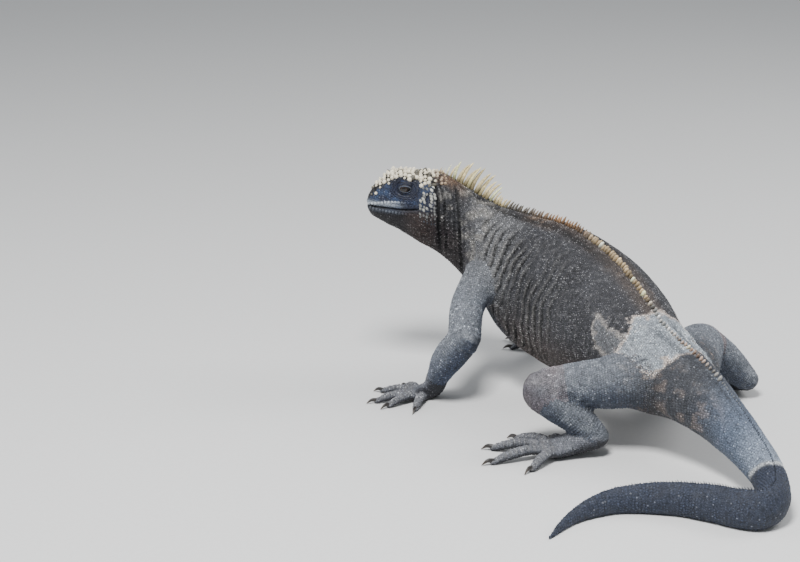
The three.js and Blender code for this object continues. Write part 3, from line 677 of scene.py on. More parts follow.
def markings(points, part, place, angle, tubes):
    """The colour of the skin at points of the animal, in linear light, with painted shade in its folds and
    grooves and painted light on the ridges of the flank folds.
    """
    paint = bpy.context.scene.iguana_colours
    rise = upright_angle(angle)
    ring = ring_of_place(place)
    patchy = rough_noise(points, 22, 21)
    fine = rough_noise(points, 6, 24)
    tiny = rough_noise(points, 2.2, 27)
    flank = np.array(paint.flank)
    colour = np.tile(flank, (len(points), 1))
    colour = mixed(colour, 0.3 + 0.4 * patchy, hue(78, 79, 84))
    colour = mixed(colour, smooth_step(0.1, 0.8, tiny) * 0.55, hue(124, 124, 126))

    trunk = part < 0
    brown = smooth_step(0.15, 0.6, patchy + 0.35 * fine)
    low = smooth_step(5, -35, rise) * smooth_step(2.5, 5, ring) * smooth_fall(9, 11, ring)
    colour = mixed(colour, low * (0.35 + 0.4 * brown), hue(92, 72, 60))
    ridge = smooth_step(66, 82, rise) * smooth_step(3, 4.5, ring) * smooth_fall(10, 11, ring)
    colour = mixed(colour, ridge * (0.16 + 0.4 * brown), hue(140, 116, 92))
    # painted shade: a dark line in the groove beside the crest on the neck and the front of the trunk
    crest_groove_shade = bump(rise, 77, 4.5) * smooth_fall(6.4, 8.2, ring)
    colour = mixed(colour, crest_groove_shade * 0.85, hue(18, 19, 23))
    # painted shade: a dark line in the groove beside the crest over the hips and the root of the tail
    seam = bump(rise, 73, 4.5) * smooth_step(9.4, 10.2, ring) * smooth_fall(13, 14, ring)
    shoulder = smooth_step(1.0, 2.2, ring) * smooth_fall(3.2, 4.6, ring) * smooth_step(-30, 0, rise)
    shoulder = shoulder * smooth_fall(66, 76, rise)
    colour = mixed(colour, shoulder * (0.45 + 0.3 * tiny), hue(140, 141, 143))

    neck = smooth_step(-1.2, -0.4, ring) * smooth_fall(2, 3.5, ring)
    colour = mixed(colour, neck * smooth_step(-0.1, 0.5, fine) * 0.7, hue(150, 147, 142))
    nape = neck * smooth_step(35, 65, rise) * smooth_fall(0.4, 1.5, ring)
    colour = mixed(colour, nape * (0.5 + 0.4 * fine), hue(132, 98, 70))
    throat = smooth_fall(0.6, 2.2, ring) * smooth_step(-4, -26, rise)
    colour = mixed(colour, throat * 0.85, hue(54, 46, 48))
    chest = smooth_step(0.6, 2.2, ring) * smooth_fall(3, 4.5, ring) * smooth_step(-10, -40, rise)
    colour = mixed(colour, chest * 0.6, hue(40, 50, 70))

    behind, _, height = head_places(points)
    face = 1 - smooth_step(-1.6, -0.2, ring)
    blue = face * smooth_step(-14, 2, rise) * smooth_fall(44, 58, rise)
    colour = mixed(colour, blue * 0.9, np.array(paint.face))
    colour = mixed(colour, blue * smooth_step(0.0, 0.6, patchy + 0.8 * fine) * 0.5, hue(64, 86, 122))
    chin = face * smooth_step(0, -9, rise)
    colour = mixed(colour, chin * 0.9, hue(30, 29, 34))
    colour = mixed(colour, chin * smooth_step(26, 44, place) * (0.6 + 0.3 * fine), hue(72, 58, 54))
    lip = face * bump(height, MOUTH_HEIGHT + 3.2, 2.2) * smooth_fall(18, 36, behind)
    colour = mixed(colour, lip * 0.9, hue(160, 168, 178))
    under = face * bump(height, MOUTH_HEIGHT - 3, 2.0) * smooth_fall(20, 40, behind)
    colour = mixed(colour, under * 0.2, hue(96, 112, 138))
    # painted shade: a dark line in the crease where the lips meet
    mouth_line_shade = face * bump(height, MOUTH_HEIGHT, 0.9) * smooth_fall(MOUTH_CORNER - 2, MOUTH_CORNER + 2, behind)
    colour = mixed(colour, mouth_line_shade * 0.9, hue(20, 22, 28))
    around = eye_spread(points)
    orbit = face * smooth_fall(11, 17, around) * smooth_step(0, 10, rise)
    colour = mixed(colour, orbit * 0.85, hue(24, 29, 48))
    crown = face * smooth_step(46, 58, rise) * (1 - orbit)
    colour = mixed(colour, crown * 0.8, hue(26, 25, 27))

    front = ring + 0.4 * patchy + 0.24 * fine
    older = smooth_step(8.45, 8.6, front) * smooth_step(8, 14, rise) * smooth_fall(30, 40, rise + 8 * fine)
    older = older * smooth_fall(9.6, 10.4, ring)
    colour = mixed(colour, older * 0.75, hue(116, 118, 122))
    colour = mixed(colour, 4 * older * (1 - older) * 0.8, hue(184, 178, 172))
    shed = smooth_step(9.2, 9.42, front - 0.002 * (90 - rise))
    shed = shed * smooth_fall(11.05, 11.25, ring + 0.5 * patchy + 0.2 * fine + 0.009 * (90 - rise) - 0.25)
    shed = shed * smooth_step(10, 26, rise)
    colour = mixed(colour, shed * 0.92, np.array(paint.shed))
    colour = mixed(colour, shed * smooth_step(0.1, 0.8, fine) * 0.5, hue(206, 212, 214))
    crust = np.minimum(4 * shed * (1 - shed) * 1.3, 1) * smooth_step(8, 24, rise)
    colour = mixed(colour, crust * 0.85, hue(226, 210, 198))

    root = smooth_step(10.6, 11.1, ring) * smooth_fall(12.6, 14.2, ring) * (1 - shed)
    colour = mixed(colour, root * 0.5, hue(74, 78, 86))
    tan = root * smooth_step(0.0, 0.6, fine + 0.3 * patchy) * smooth_fall(30, 70, rise)
    colour = mixed(colour, tan * 0.7, hue(142, 116, 94))
    colour = mixed(colour, root * smooth_step(-0.1, 0.5, fine) * 0.45, hue(112, 118, 126))
    end = ring + 0.12 * patchy + 0.006 * (40 - rise)
    proximal = smooth_step(11.8, 13.6, ring) * smooth_fall(15.3, 15.42, end)
    colour = mixed(colour, proximal * (0.75 + 0.15 * fine), np.array(paint.tail))
    pale = proximal * smooth_step(13.4, 15.1, ring) * smooth_step(-20, 20, rise)
    colour = mixed(colour, pale * 0.55, hue(168, 180, 196))
    distal = smooth_step(15.34, 15.46, end)
    colour = mixed(colour, distal * (0.8 + 0.15 * fine), hue(54, 62, 80))
    colour = mixed(colour, bump(end, 15.3, 0.09) * smooth_step(-30, 0, rise) * 0.8, hue(214, 216, 216))
    # the painted shade beside the crest over the hips, laid over the old skin
    colour = mixed(colour, seam * 0.6, hue(40, 45, 54))
    belly = smooth_step(-50, -75, rise) * smooth_step(2.5, 4, ring)
    colour = mixed(colour, belly * 0.5, hue(78, 74, 70))

    # painted shade: the folds of neck and shoulder darkened by their depth
    near = trunk & (place > 52) & (place < 125)
    colour = mixed(colour, np.where(near, neck_folds(points, place, rise), 0) * 0.85, hue(16, 17, 21))
    # painted light on the ridge behind each flank fold and painted shade in its groove
    groove, line = flank_folds(points, place, rise)
    side = trunk & (place > 100) & (place < 300)
    colour = mixed(colour, np.where(side, line * 0.5, 0), hue(150, 148, 144))
    colour = mixed(colour, np.where(side, groove * 1.1, 0), hue(12, 13, 16))

    limb = ~trunk
    if limb.any():
        colour[limb] = limb_markings(points[limb], part[limb], place[limb], angle[limb], tubes)
    return np.clip(colour, 0.002, 0.9)


def limb_markings(points, part, place, angle, tubes):
    """The colour of legs and digits, with painted light on their upper sides and painted shade underneath."""
    paint = bpy.context.scene.iguana_colours
    patchy = rough_noise(points, 16, 31)
    fine = rough_noise(points, 4, 34)
    kinds = np.array([tube.kind for tube in tubes])[part.astype(int)]
    fore = np.array([LEGS[tube.leg]["kind"] == "fore" for tube in tubes])[part.astype(int)]
    slope = np.sin(angle)
    colour = np.tile(np.array(paint.limb), (len(points), 1))
    colour = mixed(colour, smooth_step(-0.1, 0.7, fine + 0.3 * patchy) * 0.55, hue(154, 160, 168))
    # painted light: the upper sides of the legs lighter
    colour = mixed(colour, np.where(fore, 0.25, 0.2) * smooth_step(-0.2, 0.8, slope), hue(170, 174, 180))
    # painted shade: the undersides of the legs darker
    dark = smooth_step(0.35, -0.5, slope + 0.25 * patchy)
    colour = mixed(colour, dark * np.where(fore, 0.75, 0.55), hue(46, 56, 78))
    shin = (kinds == "lower") & fore
    colour = mixed(colour, np.where(shin, 0.35 * smooth_step(0.1, 0.8, place), 0), hue(58, 72, 102))
    joined = (kinds == "upper") & fore
    colour = mixed(colour, np.where(joined, 0.6 * smooth_fall(0.1, 0.55, place), 0), hue(104, 105, 108))
    knee = ~fore & ((kinds == "upper") & (place > 0.75) | (kinds == "lower") & (place < 0.2))
    colour = mixed(colour, np.where(knee, 0.3 + 0.2 * patchy, 0), hue(150, 128, 124))
    rump = ~fore & (kinds == "upper") & (place < 0.35)
    colour = mixed(colour, np.where(rump, 0.75 * smooth_fall(0.02, 0.34, place), 0), hue(66, 68, 74))
    specks = 0.5 * smooth_step(0.1, 0.6, fine) * (1 - place * 3)
    colour = mixed(colour, np.where(rump, specks, 0), hue(140, 118, 98))
    feet = np.isin(kinds, ("sole", "digit"))
    colour = mixed(colour, np.where(feet, 0.55, 0), hue(112, 112, 118))
    # painted shade: the undersides of feet and digits darkened
    colour = mixed(colour, np.where(feet, 0.85 * smooth_step(0.25, -0.45, slope), 0), hue(36, 37, 42))
    rings = 0.5 + 0.5 * np.cos(place * 2 * math.pi * 11)
    banded = 0.35 * rings * smooth_step(0.0, 0.6, slope)
    colour = mixed(colour, np.where(kinds == "digit", banded, 0), hue(168, 166, 164))
    return colour


def paint_points(mesh, colours, name="Markings"):
    """Stores a colour for each point of a mesh."""
    layer = mesh.attributes.get(name) or mesh.attributes.new(name, "FLOAT_COLOR", "POINT")
    rows = np.concatenate([colours, np.ones((len(colours), 1))], 1)
    layer.data.foreach_set("color", rows.astype(np.float32).ravel())


def scale_rows(length, perimeter, step, spacing, random):
    """Places and shares of a turn for scales set in rows across a form."""
    places, turns = [], []
    count = max(2, int(length / step))
    for row in range(count):
        share = (row + 0.5) / count
        around = max(4, int(round(perimeter(share) / spacing)))
        turn = (np.arange(around) + 0.5 * (row % 2) + random.uniform(-0.16, 0.16, around)) / around
        places.append(np.full(around, share) + random.uniform(-0.16, 0.16, around) / count)
        turns.append(turn % 1)
    return np.clip(np.concatenate(places), 0, 1), np.concatenate(turns)


def body_rows(start, end, step, spacing, random):
    """Roots of scales in rows round the body: places and angles."""
    all_places, all_angles = [], []
    turn = np.linspace(0, 2 * math.pi, 181)
    count = max(2, int((end - start) / step))
    for row in range(count):
        place = start + (end - start) * (row + 0.5) / count
        loop = body_points(np.full(181, place), turn)
        run = np.concatenate([[0], np.cumsum(np.linalg.norm(np.diff(loop, axis=0), axis=1))])
        around = max(5, int(round(run[-1] / spacing)))
        shares = (np.arange(around) + 0.5 * (row % 2) + random.uniform(-0.2, 0.2, around)) / around
        all_angles.append(np.interp((shares % 1) * run[-1], run, turn))
        all_places.append(place + random.uniform(-0.2, 0.2, around) * step)
    return np.concatenate(all_places), np.concatenate(all_angles)


def settled(points, along, tilt, deepest=2.6, farthest=4.5):
    """Brings roots onto the skin. Gives which hold, their places and the turns of what stands there."""
    surface = made["surface"]
    keep, places, normals = [], [], []
    for i, point in enumerate((points + TO_FRAME) * MM):
        spot, normal, _, distance = surface.find_nearest(Vector(point))
        inside = (Vector(point) - spot).dot(normal) < -deepest * MM
        if distance < farthest * MM and not inside and spot.z > 0.9 * MM:
            keep.append(i)
            places.append(spot)
            normals.append(normal)
    keep = np.array(keep, int)
    places = np.array(places).reshape(-1, 3) / MM - TO_FRAME
    normals = unit(np.array(normals).reshape(-1, 3))
    back = along[keep] - normals * np.sum(along[keep] * normals, 1, keepdims=True)
    back = unit(back)
    tilt = np.radians(np.broadcast_to(tilt, len(points))[keep])[:, None]
    out = unit(normals * np.cos(tilt) + back * np.sin(tilt))
    ahead = unit(back - out * np.sum(back * out, 1, keepdims=True))
    side = np.cross(out, ahead)
    roll = np.arctan2(side[:, 2], out[:, 2])
    pitch = -np.arcsin(np.clip(ahead[:, 2], -1, 1))
    yaw = np.arctan2(ahead[:, 1], ahead[:, 0])
    return keep, places, np.stack([roll, pitch, yaw], -1)


def spaced(points, least):
    """Marks which points to keep so that none stand closer than the least distance."""
    cells = {}
    keep = np.zeros(len(points), bool)
    for i, point in enumerate(points):
        cell = tuple((point // least).astype(int))
        near = (
            other
            for x in (-1, 0, 1)
            for y in (-1, 0, 1)
            for z in (-1, 0, 1)
            for other in cells.get((cell[0] + x, cell[1] + y, cell[2] + z), ())
        )
        if all(np.sum((points[other] - point) ** 2) > least * least for other in near):
            cells.setdefault(cell, []).append(i)
            keep[i] = True
    return keep


def scale_shape(name, sides, rings, bend=0.0):
    """One scale or spine of unit height, its base sunk below zero, that leans to +X as it rises."""
    points, tips, faces = [], [], []
    for radius, height, wide in rings:
        for j in range(sides):
            turn = 2 * math.pi * (j + 0.5) / sides
            ahead = radius * math.cos(turn) + bend * max(height, 0) ** 2
            points.append((ahead, wide * math.sin(turn), height))
            tips.append(height)
    points.append((bend, 0, 1))
    tips.append(1)
    for i in range(len(rings) - 1):
        for j in range(sides):
            k = (j + 1) % sides
            faces.append((i * sides + j, i * sides + k, (i + 1) * sides + k, (i + 1) * sides + j))
    top = (len(rings) - 1) * sides
    faces += [(top + j, top + (j + 1) % sides, len(points) - 1) for j in range(sides)]
    faces.append(tuple(range(sides - 1, -1, -1)))
    mesh = bpy.data.meshes.new(name)
    mesh.from_pydata(points, [], faces)
    mesh.polygons.foreach_set("use_smooth", np.ones(len(faces), bool))
    tip = mesh.attributes.new("tip", "FLOAT", "POINT")
    tip.data.foreach_set("value", np.clip(tips, 0, 1))
    flat = np.array(points)
    flat[:, 2] = 0
    flat /= np.abs(flat).max()
    layer = mesh.attributes.new("flat", "FLOAT_VECTOR", "POINT")
    layer.data.foreach_set("vector", flat.astype(np.float32).ravel())
    shape = bpy.data.objects.new(name, mesh)
    bpy.context.scene.collection.objects.link(shape)
    shape.hide_render = True
    return shape


def scatter_tree():
    """Geometry nodes that stand one shape on every root, turned and sized as the root says."""
    tree = bpy.data.node_groups.get("Stand shapes on roots")
    if tree:
        return tree
    tree = bpy.data.node_groups.new("Stand shapes on roots", "GeometryNodeTree")
    socket = tree.interface.new_socket
    socket("Roots", in_out="INPUT", socket_type="NodeSocketGeometry")
    socket("Shape", in_out="INPUT", socket_type="NodeSocketObject")
    socket("Size", in_out="INPUT", socket_type="NodeSocketFloat").default_value = 1
    socket("Size Variation", in_out="INPUT", socket_type="NodeSocketFloat").default_value = 0.15
    socket("Seed", in_out="INPUT", socket_type="NodeSocketInt")
    socket("Finish", in_out="INPUT", socket_type="NodeSocketMaterial")
    socket("Shapes", in_out="OUTPUT", socket_type="NodeSocketGeometry")
    add = tree.nodes.new
    link = tree.links.new
    source, sink = add("NodeGroupInput"), add("NodeGroupOutput")
    shape = add("GeometryNodeObjectInfo")
    stand = add("GeometryNodeInstanceOnPoints")
    turn = add("GeometryNodeInputNamedAttribute")
    turn.data_type = "FLOAT_VECTOR"
    turn.inputs["Name"].default_value = "turn"
    spread = add("GeometryNodeInputNamedAttribute")
    spread.data_type = "FLOAT_VECTOR"
    spread.inputs["Name"].default_value = "spread"
    rotation = add("FunctionNodeEulerToRotation")
    chance = add("FunctionNodeRandomValue")
    chance.data_type = "FLOAT"
    low, high = add("ShaderNodeMath"), add("ShaderNodeMath")
    low.operation, high.operation = "SUBTRACT", "ADD"
    low.inputs[0].default_value = high.inputs[0].default_value = 1
    sized, varied = add("ShaderNodeVectorMath"), add("ShaderNodeVectorMath")
    sized.operation = varied.operation = "SCALE"
    real, finish = add("GeometryNodeRealizeInstances"), add("GeometryNodeSetMaterial")
    link(source.outputs["Roots"], stand.inputs["Points"])
    link(source.outputs["Shape"], shape.inputs["Object"])
    link(shape.outputs["Geometry"], stand.inputs["Instance"])
    link(turn.outputs["Attribute"], rotation.inputs[0])
    link(rotation.outputs[0], stand.inputs["Rotation"])
    link(source.outputs["Size Variation"], low.inputs[1])
    link(source.outputs["Size Variation"], high.inputs[1])
    number = [s for s in chance.inputs if s.type == "VALUE"]
    link(low.outputs[0], number[0])
    link(high.outputs[0], number[1])
    link(source.outputs["Seed"], chance.inputs["Seed"])
    link(spread.outputs["Attribute"], sized.inputs[0])
    link(source.outputs["Size"], sized.inputs["Scale"])
    link(sized.outputs[0], varied.inputs[0])
    link([s for s in chance.outputs if s.type == "VALUE"][0], varied.inputs["Scale"])
    link(varied.outputs[0], stand.inputs["Scale"])
    link(stand.outputs["Instances"], real.inputs[0])
    link(real.outputs[0], finish.inputs["Geometry"])
    link(source.outputs["Finish"], finish.inputs["Material"])
    link(finish.outputs[0], sink.inputs[0])
    return tree


def stand_shapes(
    name, shape, places, turn, spread, tint, map_place, material, foot_shade=0.0, variation=0.15, seed=1
):
    """One piece of many shapes on their roots, as a plain mesh with its colours, painted shade that darkens
    each shape towards its foot, and its OFBake map.
    """
    roots = mesh_object(name + "_roots", places)
    for key, rows in (("turn", turn), ("spread", spread * MM), ("root_map", map_place)):
        layer = roots.data.attributes.new(key, "FLOAT_VECTOR", "POINT")
        layer.data.foreach_set("vector", np.asarray(rows, np.float32).ravel())
    paint_points(roots.data, tint, "tint")
    tree = scatter_tree()
    modifier = roots.modifiers.new("Shapes", "NODES")
    modifier.node_group = tree
    values = {"Shape": shape, "Size": 1.0, "Size Variation": variation, "Seed": seed, "Finish": material}
    for item in tree.interface.items_tree:
        if item.item_type == "SOCKET" and item.in_out == "INPUT" and item.name in values:
            modifier[item.identifier] = values[item.name]
    graph = bpy.context.evaluated_depsgraph_get()
    mesh = bpy.data.meshes.new_from_object(
        roots.evaluated_get(graph), preserve_all_data_layers=True, depsgraph=graph
    )
    bpy.data.objects.remove(roots)
    if not len(mesh.polygons):
        raise RuntimeError(name + " came out empty")
    mesh.name = name
    piece = bpy.data.objects.new(name, mesh)
    bpy.context.scene.collection.objects.link(piece)
    count = len(mesh.vertices)

    def column(key, kind, width):
        values = np.zeros(count * width, np.float32)
        mesh.attributes[key].data.foreach_get(kind, values)
        return values.reshape(count, width) if width > 1 else values

    tips = column("tip", "value", 1)
    colours = column("tint", "color", 4)[:, :3]
    centre = column("root_map", "vector", 3)
    flat = column("flat", "vector", 3)
    # painted shade: each shape is darker towards its foot, where it stands in the skin between its neighbours
    shade = 1 - foot_shade + foot_shade * smooth_step(0.0, 0.45, tips)
    paint_points(mesh, colours * shade[:, None])
    corners = np.zeros(len(mesh.loops), np.int32)
    mesh.loops.foreach_get("vertex_index", corners)
    chart = mesh.uv_layers.get("OFBake") or mesh.uv_layers.new(name="OFBake")
    spot = (centre[:, :2] + flat[:, :2] * 0.0015)[corners]
    chart.data.foreach_set("uv", spot.astype(np.float32).ravel())
    for key in ("tip", "tint", "root_map", "flat", "turn", "spread"):
        if key in mesh.attributes:
            mesh.attributes.remove(mesh.attributes[key])
    show_smooth(mesh)
    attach(piece, "root")
    return piece


def chart_place(across, upward, column=0, columns=1):
    """A place on the map of a piece: its column, then how far along and how far round."""
    u = (column + 0.03 + 0.94 * np.clip(across, 0, 1)) / columns
    return np.stack([0.003 + 0.994 * u, 0.01 + 0.98 * np.clip(upward, 0, 1), np.zeros(len(u))], -1)


def speckled(tint, random, spread=0.42, pale=0.16):
    """The skin's colours with each scale a little lighter or darker, and a few of them pale."""
    count = len(tint)
    tint = tint * np.exp(random.normal(0, spread, count))[:, None]
    light = random.uniform(0, 1, count) < pale
    tint = np.where(light[:, None], tint * 1.35 + 0.1, tint)
    return np.clip(tint, 0.003, 0.85)


class Recipe:
    """A new material, with short ways to add its nodes and to feed them."""

    def __init__(self, name):
        """Starts with the place on the object and the piece's own colours."""
        self.material = bpy.data.materials.new(name)
        self.material.use_nodes = True
        self.place = self.add("TexCoord", {})["Object"]
        self.tint = self.add("Attribute", {}, attribute_name="Markings")["Color"]

    def add(self, kind, inputs, **settings):
        """The outputs of a new node of one kind."""
        node = self.material.node_tree.nodes.new("ShaderNode" + kind)
        for key, value in settings.items():
            setattr(node, key, value)
        self.feed(node, inputs)
        return node.outputs

    def feed(self, node, inputs):
        """Gives each input its value, or the link from the socket that feeds it."""
        for key, value in inputs.items():
            if isinstance(value, bpy.types.NodeSocket):
                self.material.node_tree.links.new(value, node.inputs[key])
            else:
                node.inputs[key].default_value = value

    def ranged(self, value, low, high, to_low, to_high):
        """A value brought from one range to another."""
        ends = {"From Min": low, "From Max": high, "To Min": to_low, "To Max": to_high}
        return self.add("MapRange", {"Value": value, **ends})["Result"]

    def finished(self, shade, rough, normal, sheen):
        """The material, once its shader has its colour, roughness, relief and sheen."""
        colour = self.add("VectorMath", {0: self.tint, "Scale": shade}, operation="SCALE")[0]
        shader = self.material.node_tree.nodes["Principled BSDF"]
        self.feed(shader, {"Base Color": colour, "Roughness": rough, "Normal": normal})
        shader.inputs["Specular IOR Level"].default_value = sheen
        return self.material


def skin_material(name, grain, depth, rough):
    """Scaly skin: the markings with small mottling, painted shade in the gaps between the granules, a
    granular relief and a finish that varies.
    """
    make = Recipe(name)
    cells = make.add("TexVoronoi", {"Scale": 1000 / grain, "Vector": make.place})["Distance"]
    mottle = make.add("TexNoise", {"Scale": 330, "Detail": 5, "Vector": make.place})["Fac"]
    tone = make.ranged(mottle, 0.3, 0.7, 0.62, 1.32)
    # painted shade: the colour darkens towards the edges of the granules, in the gaps between them
    gap = make.ranged(cells, 0.25, 0.75, 1.12, 0.5)
    shade = make.add("Math", {0: tone, 1: gap}, operation="MULTIPLY")[0]
    rough = make.ranged(mottle, 0, 1, rough - 0.14, rough + 0.14)
    grains = {"Strength": 0.85, "Distance": depth * MM, "Height": cells}
    granular = make.add("Bump", grains, invert=True)["Normal"]
    crinkles = {"Strength": 0.4, "Distance": 0.4 * MM, "Height": mottle, "Normal": granular}
    return make.finished(shade, rough, make.add("Bump", crinkles)["Normal"], 0.35)


def horn_material(name, rough, streak, sheen=0.4):
    """Horn: the piece's own colours with fine streaks, small pits and a finish that varies."""
    make = Recipe(name)
    streaks = make.add("TexNoise", {"Scale": streak, "Detail": 4, "Vector": make.place})["Fac"]
    tone = make.ranged(streaks, 0.32, 0.68, 0.66, 1.24)
    rough = make.ranged(streaks, 0, 1, rough - 0.12, rough + 0.16)
    pits = make.add("Bump", {"Strength": 0.35, "Distance": 0.25 * MM, "Height": streaks})["Normal"]
    return make.finished(tone, rough, pits, sheen)


def finish_of(name, maker, *values):
    """A material made once and then shared."""
    return bpy.data.materials.get(name) or maker(name, *values)


def length_property(name, description, value, least, most):
    """A length, in millimetres of the animal, that a user can change."""
    return FloatProperty(
        name=name, description=description, default=value * MM, min=least * MM, max=most * MM,
        unit="LENGTH", precision=5,
    )


class IguanaSizes(bpy.types.PropertyGroup):
    """Sizes of the skin and its scales."""

    skin_voxel: length_property(
        "Skin detail", "Edge of the skin's faces before the head is refined", 2.0, 0.8, 4
    )
    coat_depth: length_property(
        "Coat depth", "How far the skin lies inside the outline for the scales", 0.35, 0, 2
    )
    trunk_scale: length_property(
        "Trunk scales", "Distance between the granular scales of neck and trunk", 1.75, 1.2, 5
    )
    limb_scale: length_property("Leg scales", "Distance between the scales of the legs", 1.9, 1.2, 5)
    tail_scale: length_property(
        "Tail scales", "Distance between the rings of scales of the tail", 2.7, 1.5, 6
    )
    crest_step: length_property(
        "Crest step", "Distance between neighbouring spines of the crest", 2.7, 2, 8
    )
    seed: IntProperty(name="Seed", description="Seed of everything that varies by chance", default=41, min=0)


def colour_property(name, description, value):
    """A colour that a user can change."""
    return FloatVectorProperty(
        name=name, description=description, subtype="COLOR", size=3, min=0, max=1,
        default=tuple(value.tolist()),
    )


class IguanaColours(bpy.types.PropertyGroup):
    """Colours of the animal."""

    flank: colour_property("Flank", "Ground colour of the trunk", hue(50, 50, 54))
    face: colour_property("Face", "Bare scales round the eye and on the cheek", hue(34, 43, 66))
    limb: colour_property("Legs", "Ground colour of the legs", hue(92, 98, 108))
    shed: colour_property("Old skin", "Pale skin over the hips", hue(160, 168, 176))
    tail: colour_property("Tail", "The part of the tail next to the body", hue(108, 122, 144))
    crown: colour_property("Crown", "Pointed scales of the head", hue(238, 229, 206))
    crest: colour_property("Crest", "Long spines of the neck", hue(226, 208, 158))
    claw: colour_property("Claws", "Horn of the claws", hue(46, 43, 42))


class IGUANA_OT_skin(bpy.types.Operator):
    """Makes one skin over head, body, legs and tail, with its folds, lips, nostrils and ears"""

    bl_idname = "iguana.skin"
    bl_label = "Make Skin"

    def execute(self, context):
        sizes = context.scene.iguana_sizes
        inset = -sizes.coat_depth / MM
        tubes, claws = [], []
        for number in range(len(LEGS)):
            limb, horns = foot_tubes(number)
            tubes += limb
            claws += horns
        turn = full_turn(96)
        places = np.concatenate([[0.05, 0.5, 1.0, 1.6], np.arange(2.4, BODY_END, 1.6), [BODY_END]])
        shapes = [closed_loft([body_points(np.full(96, place), turn, inset) for place in places])]
        shapes += [closed_loft(tube.rings(28, inset if tube.kind != "digit" else 0.1)) for tube in tubes]
        core = mesh_object("skin_core", *joined_shapes(shapes))
        remesh = core.modifiers.new("Even skin", "REMESH")
        remesh.mode = "VOXEL"
        remesh.voxel_size = sizes.skin_voxel
        graph = context.evaluated_depsgraph_get()
        mesh = bpy.data.meshes.new_from_object(core.evaluated_get(graph))
        bpy.data.objects.remove(core)
        if len(mesh.vertices) < 1000:
            raise RuntimeError("the skin came out empty")
        survey = Survey(tubes)
        points, _, edges = mesh_columns(mesh)
        points = relaxed(points, edges, np.full(len(points), 0.5), 5, swell=1.04)
        seam = survey.seam(points, 13.0)
        points = relaxed(points, edges, 0.6 * seam, 30)
        points[:, 2] = np.maximum(points[:, 2], 0.02)
        set_points(mesh, points)
        self.refine(mesh)
        points, normals, edges = mesh_columns(mesh)
        rows = survey.read(points)
        part, place, angle = rows.T
        offset = relief(points, part, place, angle, tubes)
        joint_hollow_and_shade = survey.hollows(points, part, tubes)
        offset = offset - 0.7 * joint_hollow_and_shade
        offset = np.where(points[:, 2] < 1.2, np.minimum(offset, 0), offset)
        points = points + normals * offset[:, None]
        points[:, 2] = np.maximum(points[:, 2], 0.02)
        set_points(mesh, points)
        colour = markings(points, part, place, angle, tubes) * 0.8
        # painted shade in the folds behind bent knees and elbows
        paint_points(mesh, mixed(colour, 0.5 * joint_hollow_and_shade, hue(22, 25, 34)))
        show_smooth(mesh)
        mesh.materials.clear()
        mesh.materials.append(finish_of("Granular skin", skin_material, 1.15, 0.55, 0.62))
        mesh.name = "skin"
        skin = bpy.data.objects.new("skin", mesh)
        context.scene.collection.objects.link(skin)
        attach(skin, "root")
        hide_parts(*FLESH)
        corners = [tuple(face.vertices) for face in mesh.polygons]
        made["surface"] = BVHTree.FromPolygons([vertex.co for vertex in mesh.vertices], corners)
        made["survey"], made["tubes"], made["claws"] = survey, tubes, claws
        return {"FINISHED"}

    @staticmethod
    def refine(mesh):
        """Splits the faces of the head, and once more those of eye, mouth and nostril."""
        for zone in ("head", "features"):
            build = bmesh.new()
            build.from_mesh(mesh)
            points = np.array([vertex.co for vertex in build.verts]) / MM - TO_FRAME
            behind, out, height = head_places(points)
            near = (behind < 72) & (behind > -5) & (np.abs(out) < 32) & (height > 96)
            if zone == "features":
                lips = (np.abs(height - MOUTH_HEIGHT) < 5) & (behind < 50)
                eyes = (np.hypot(behind - EYE["behind"], height - EYE["height"]) < 15) & (np.abs(out) > 10)
                nostrils = (behind < 13) & (height > 165)
                near &= lips | eyes | nostrils
            chosen = [edge for edge in build.edges if all(near[v.index] for v in edge.verts)]
            bmesh.ops.subdivide_edges(build, edges=chosen, cuts=1, use_grid_fill=True, smooth=0.6)
            build.to_mesh(mesh)
            build.free()
        mesh.update()


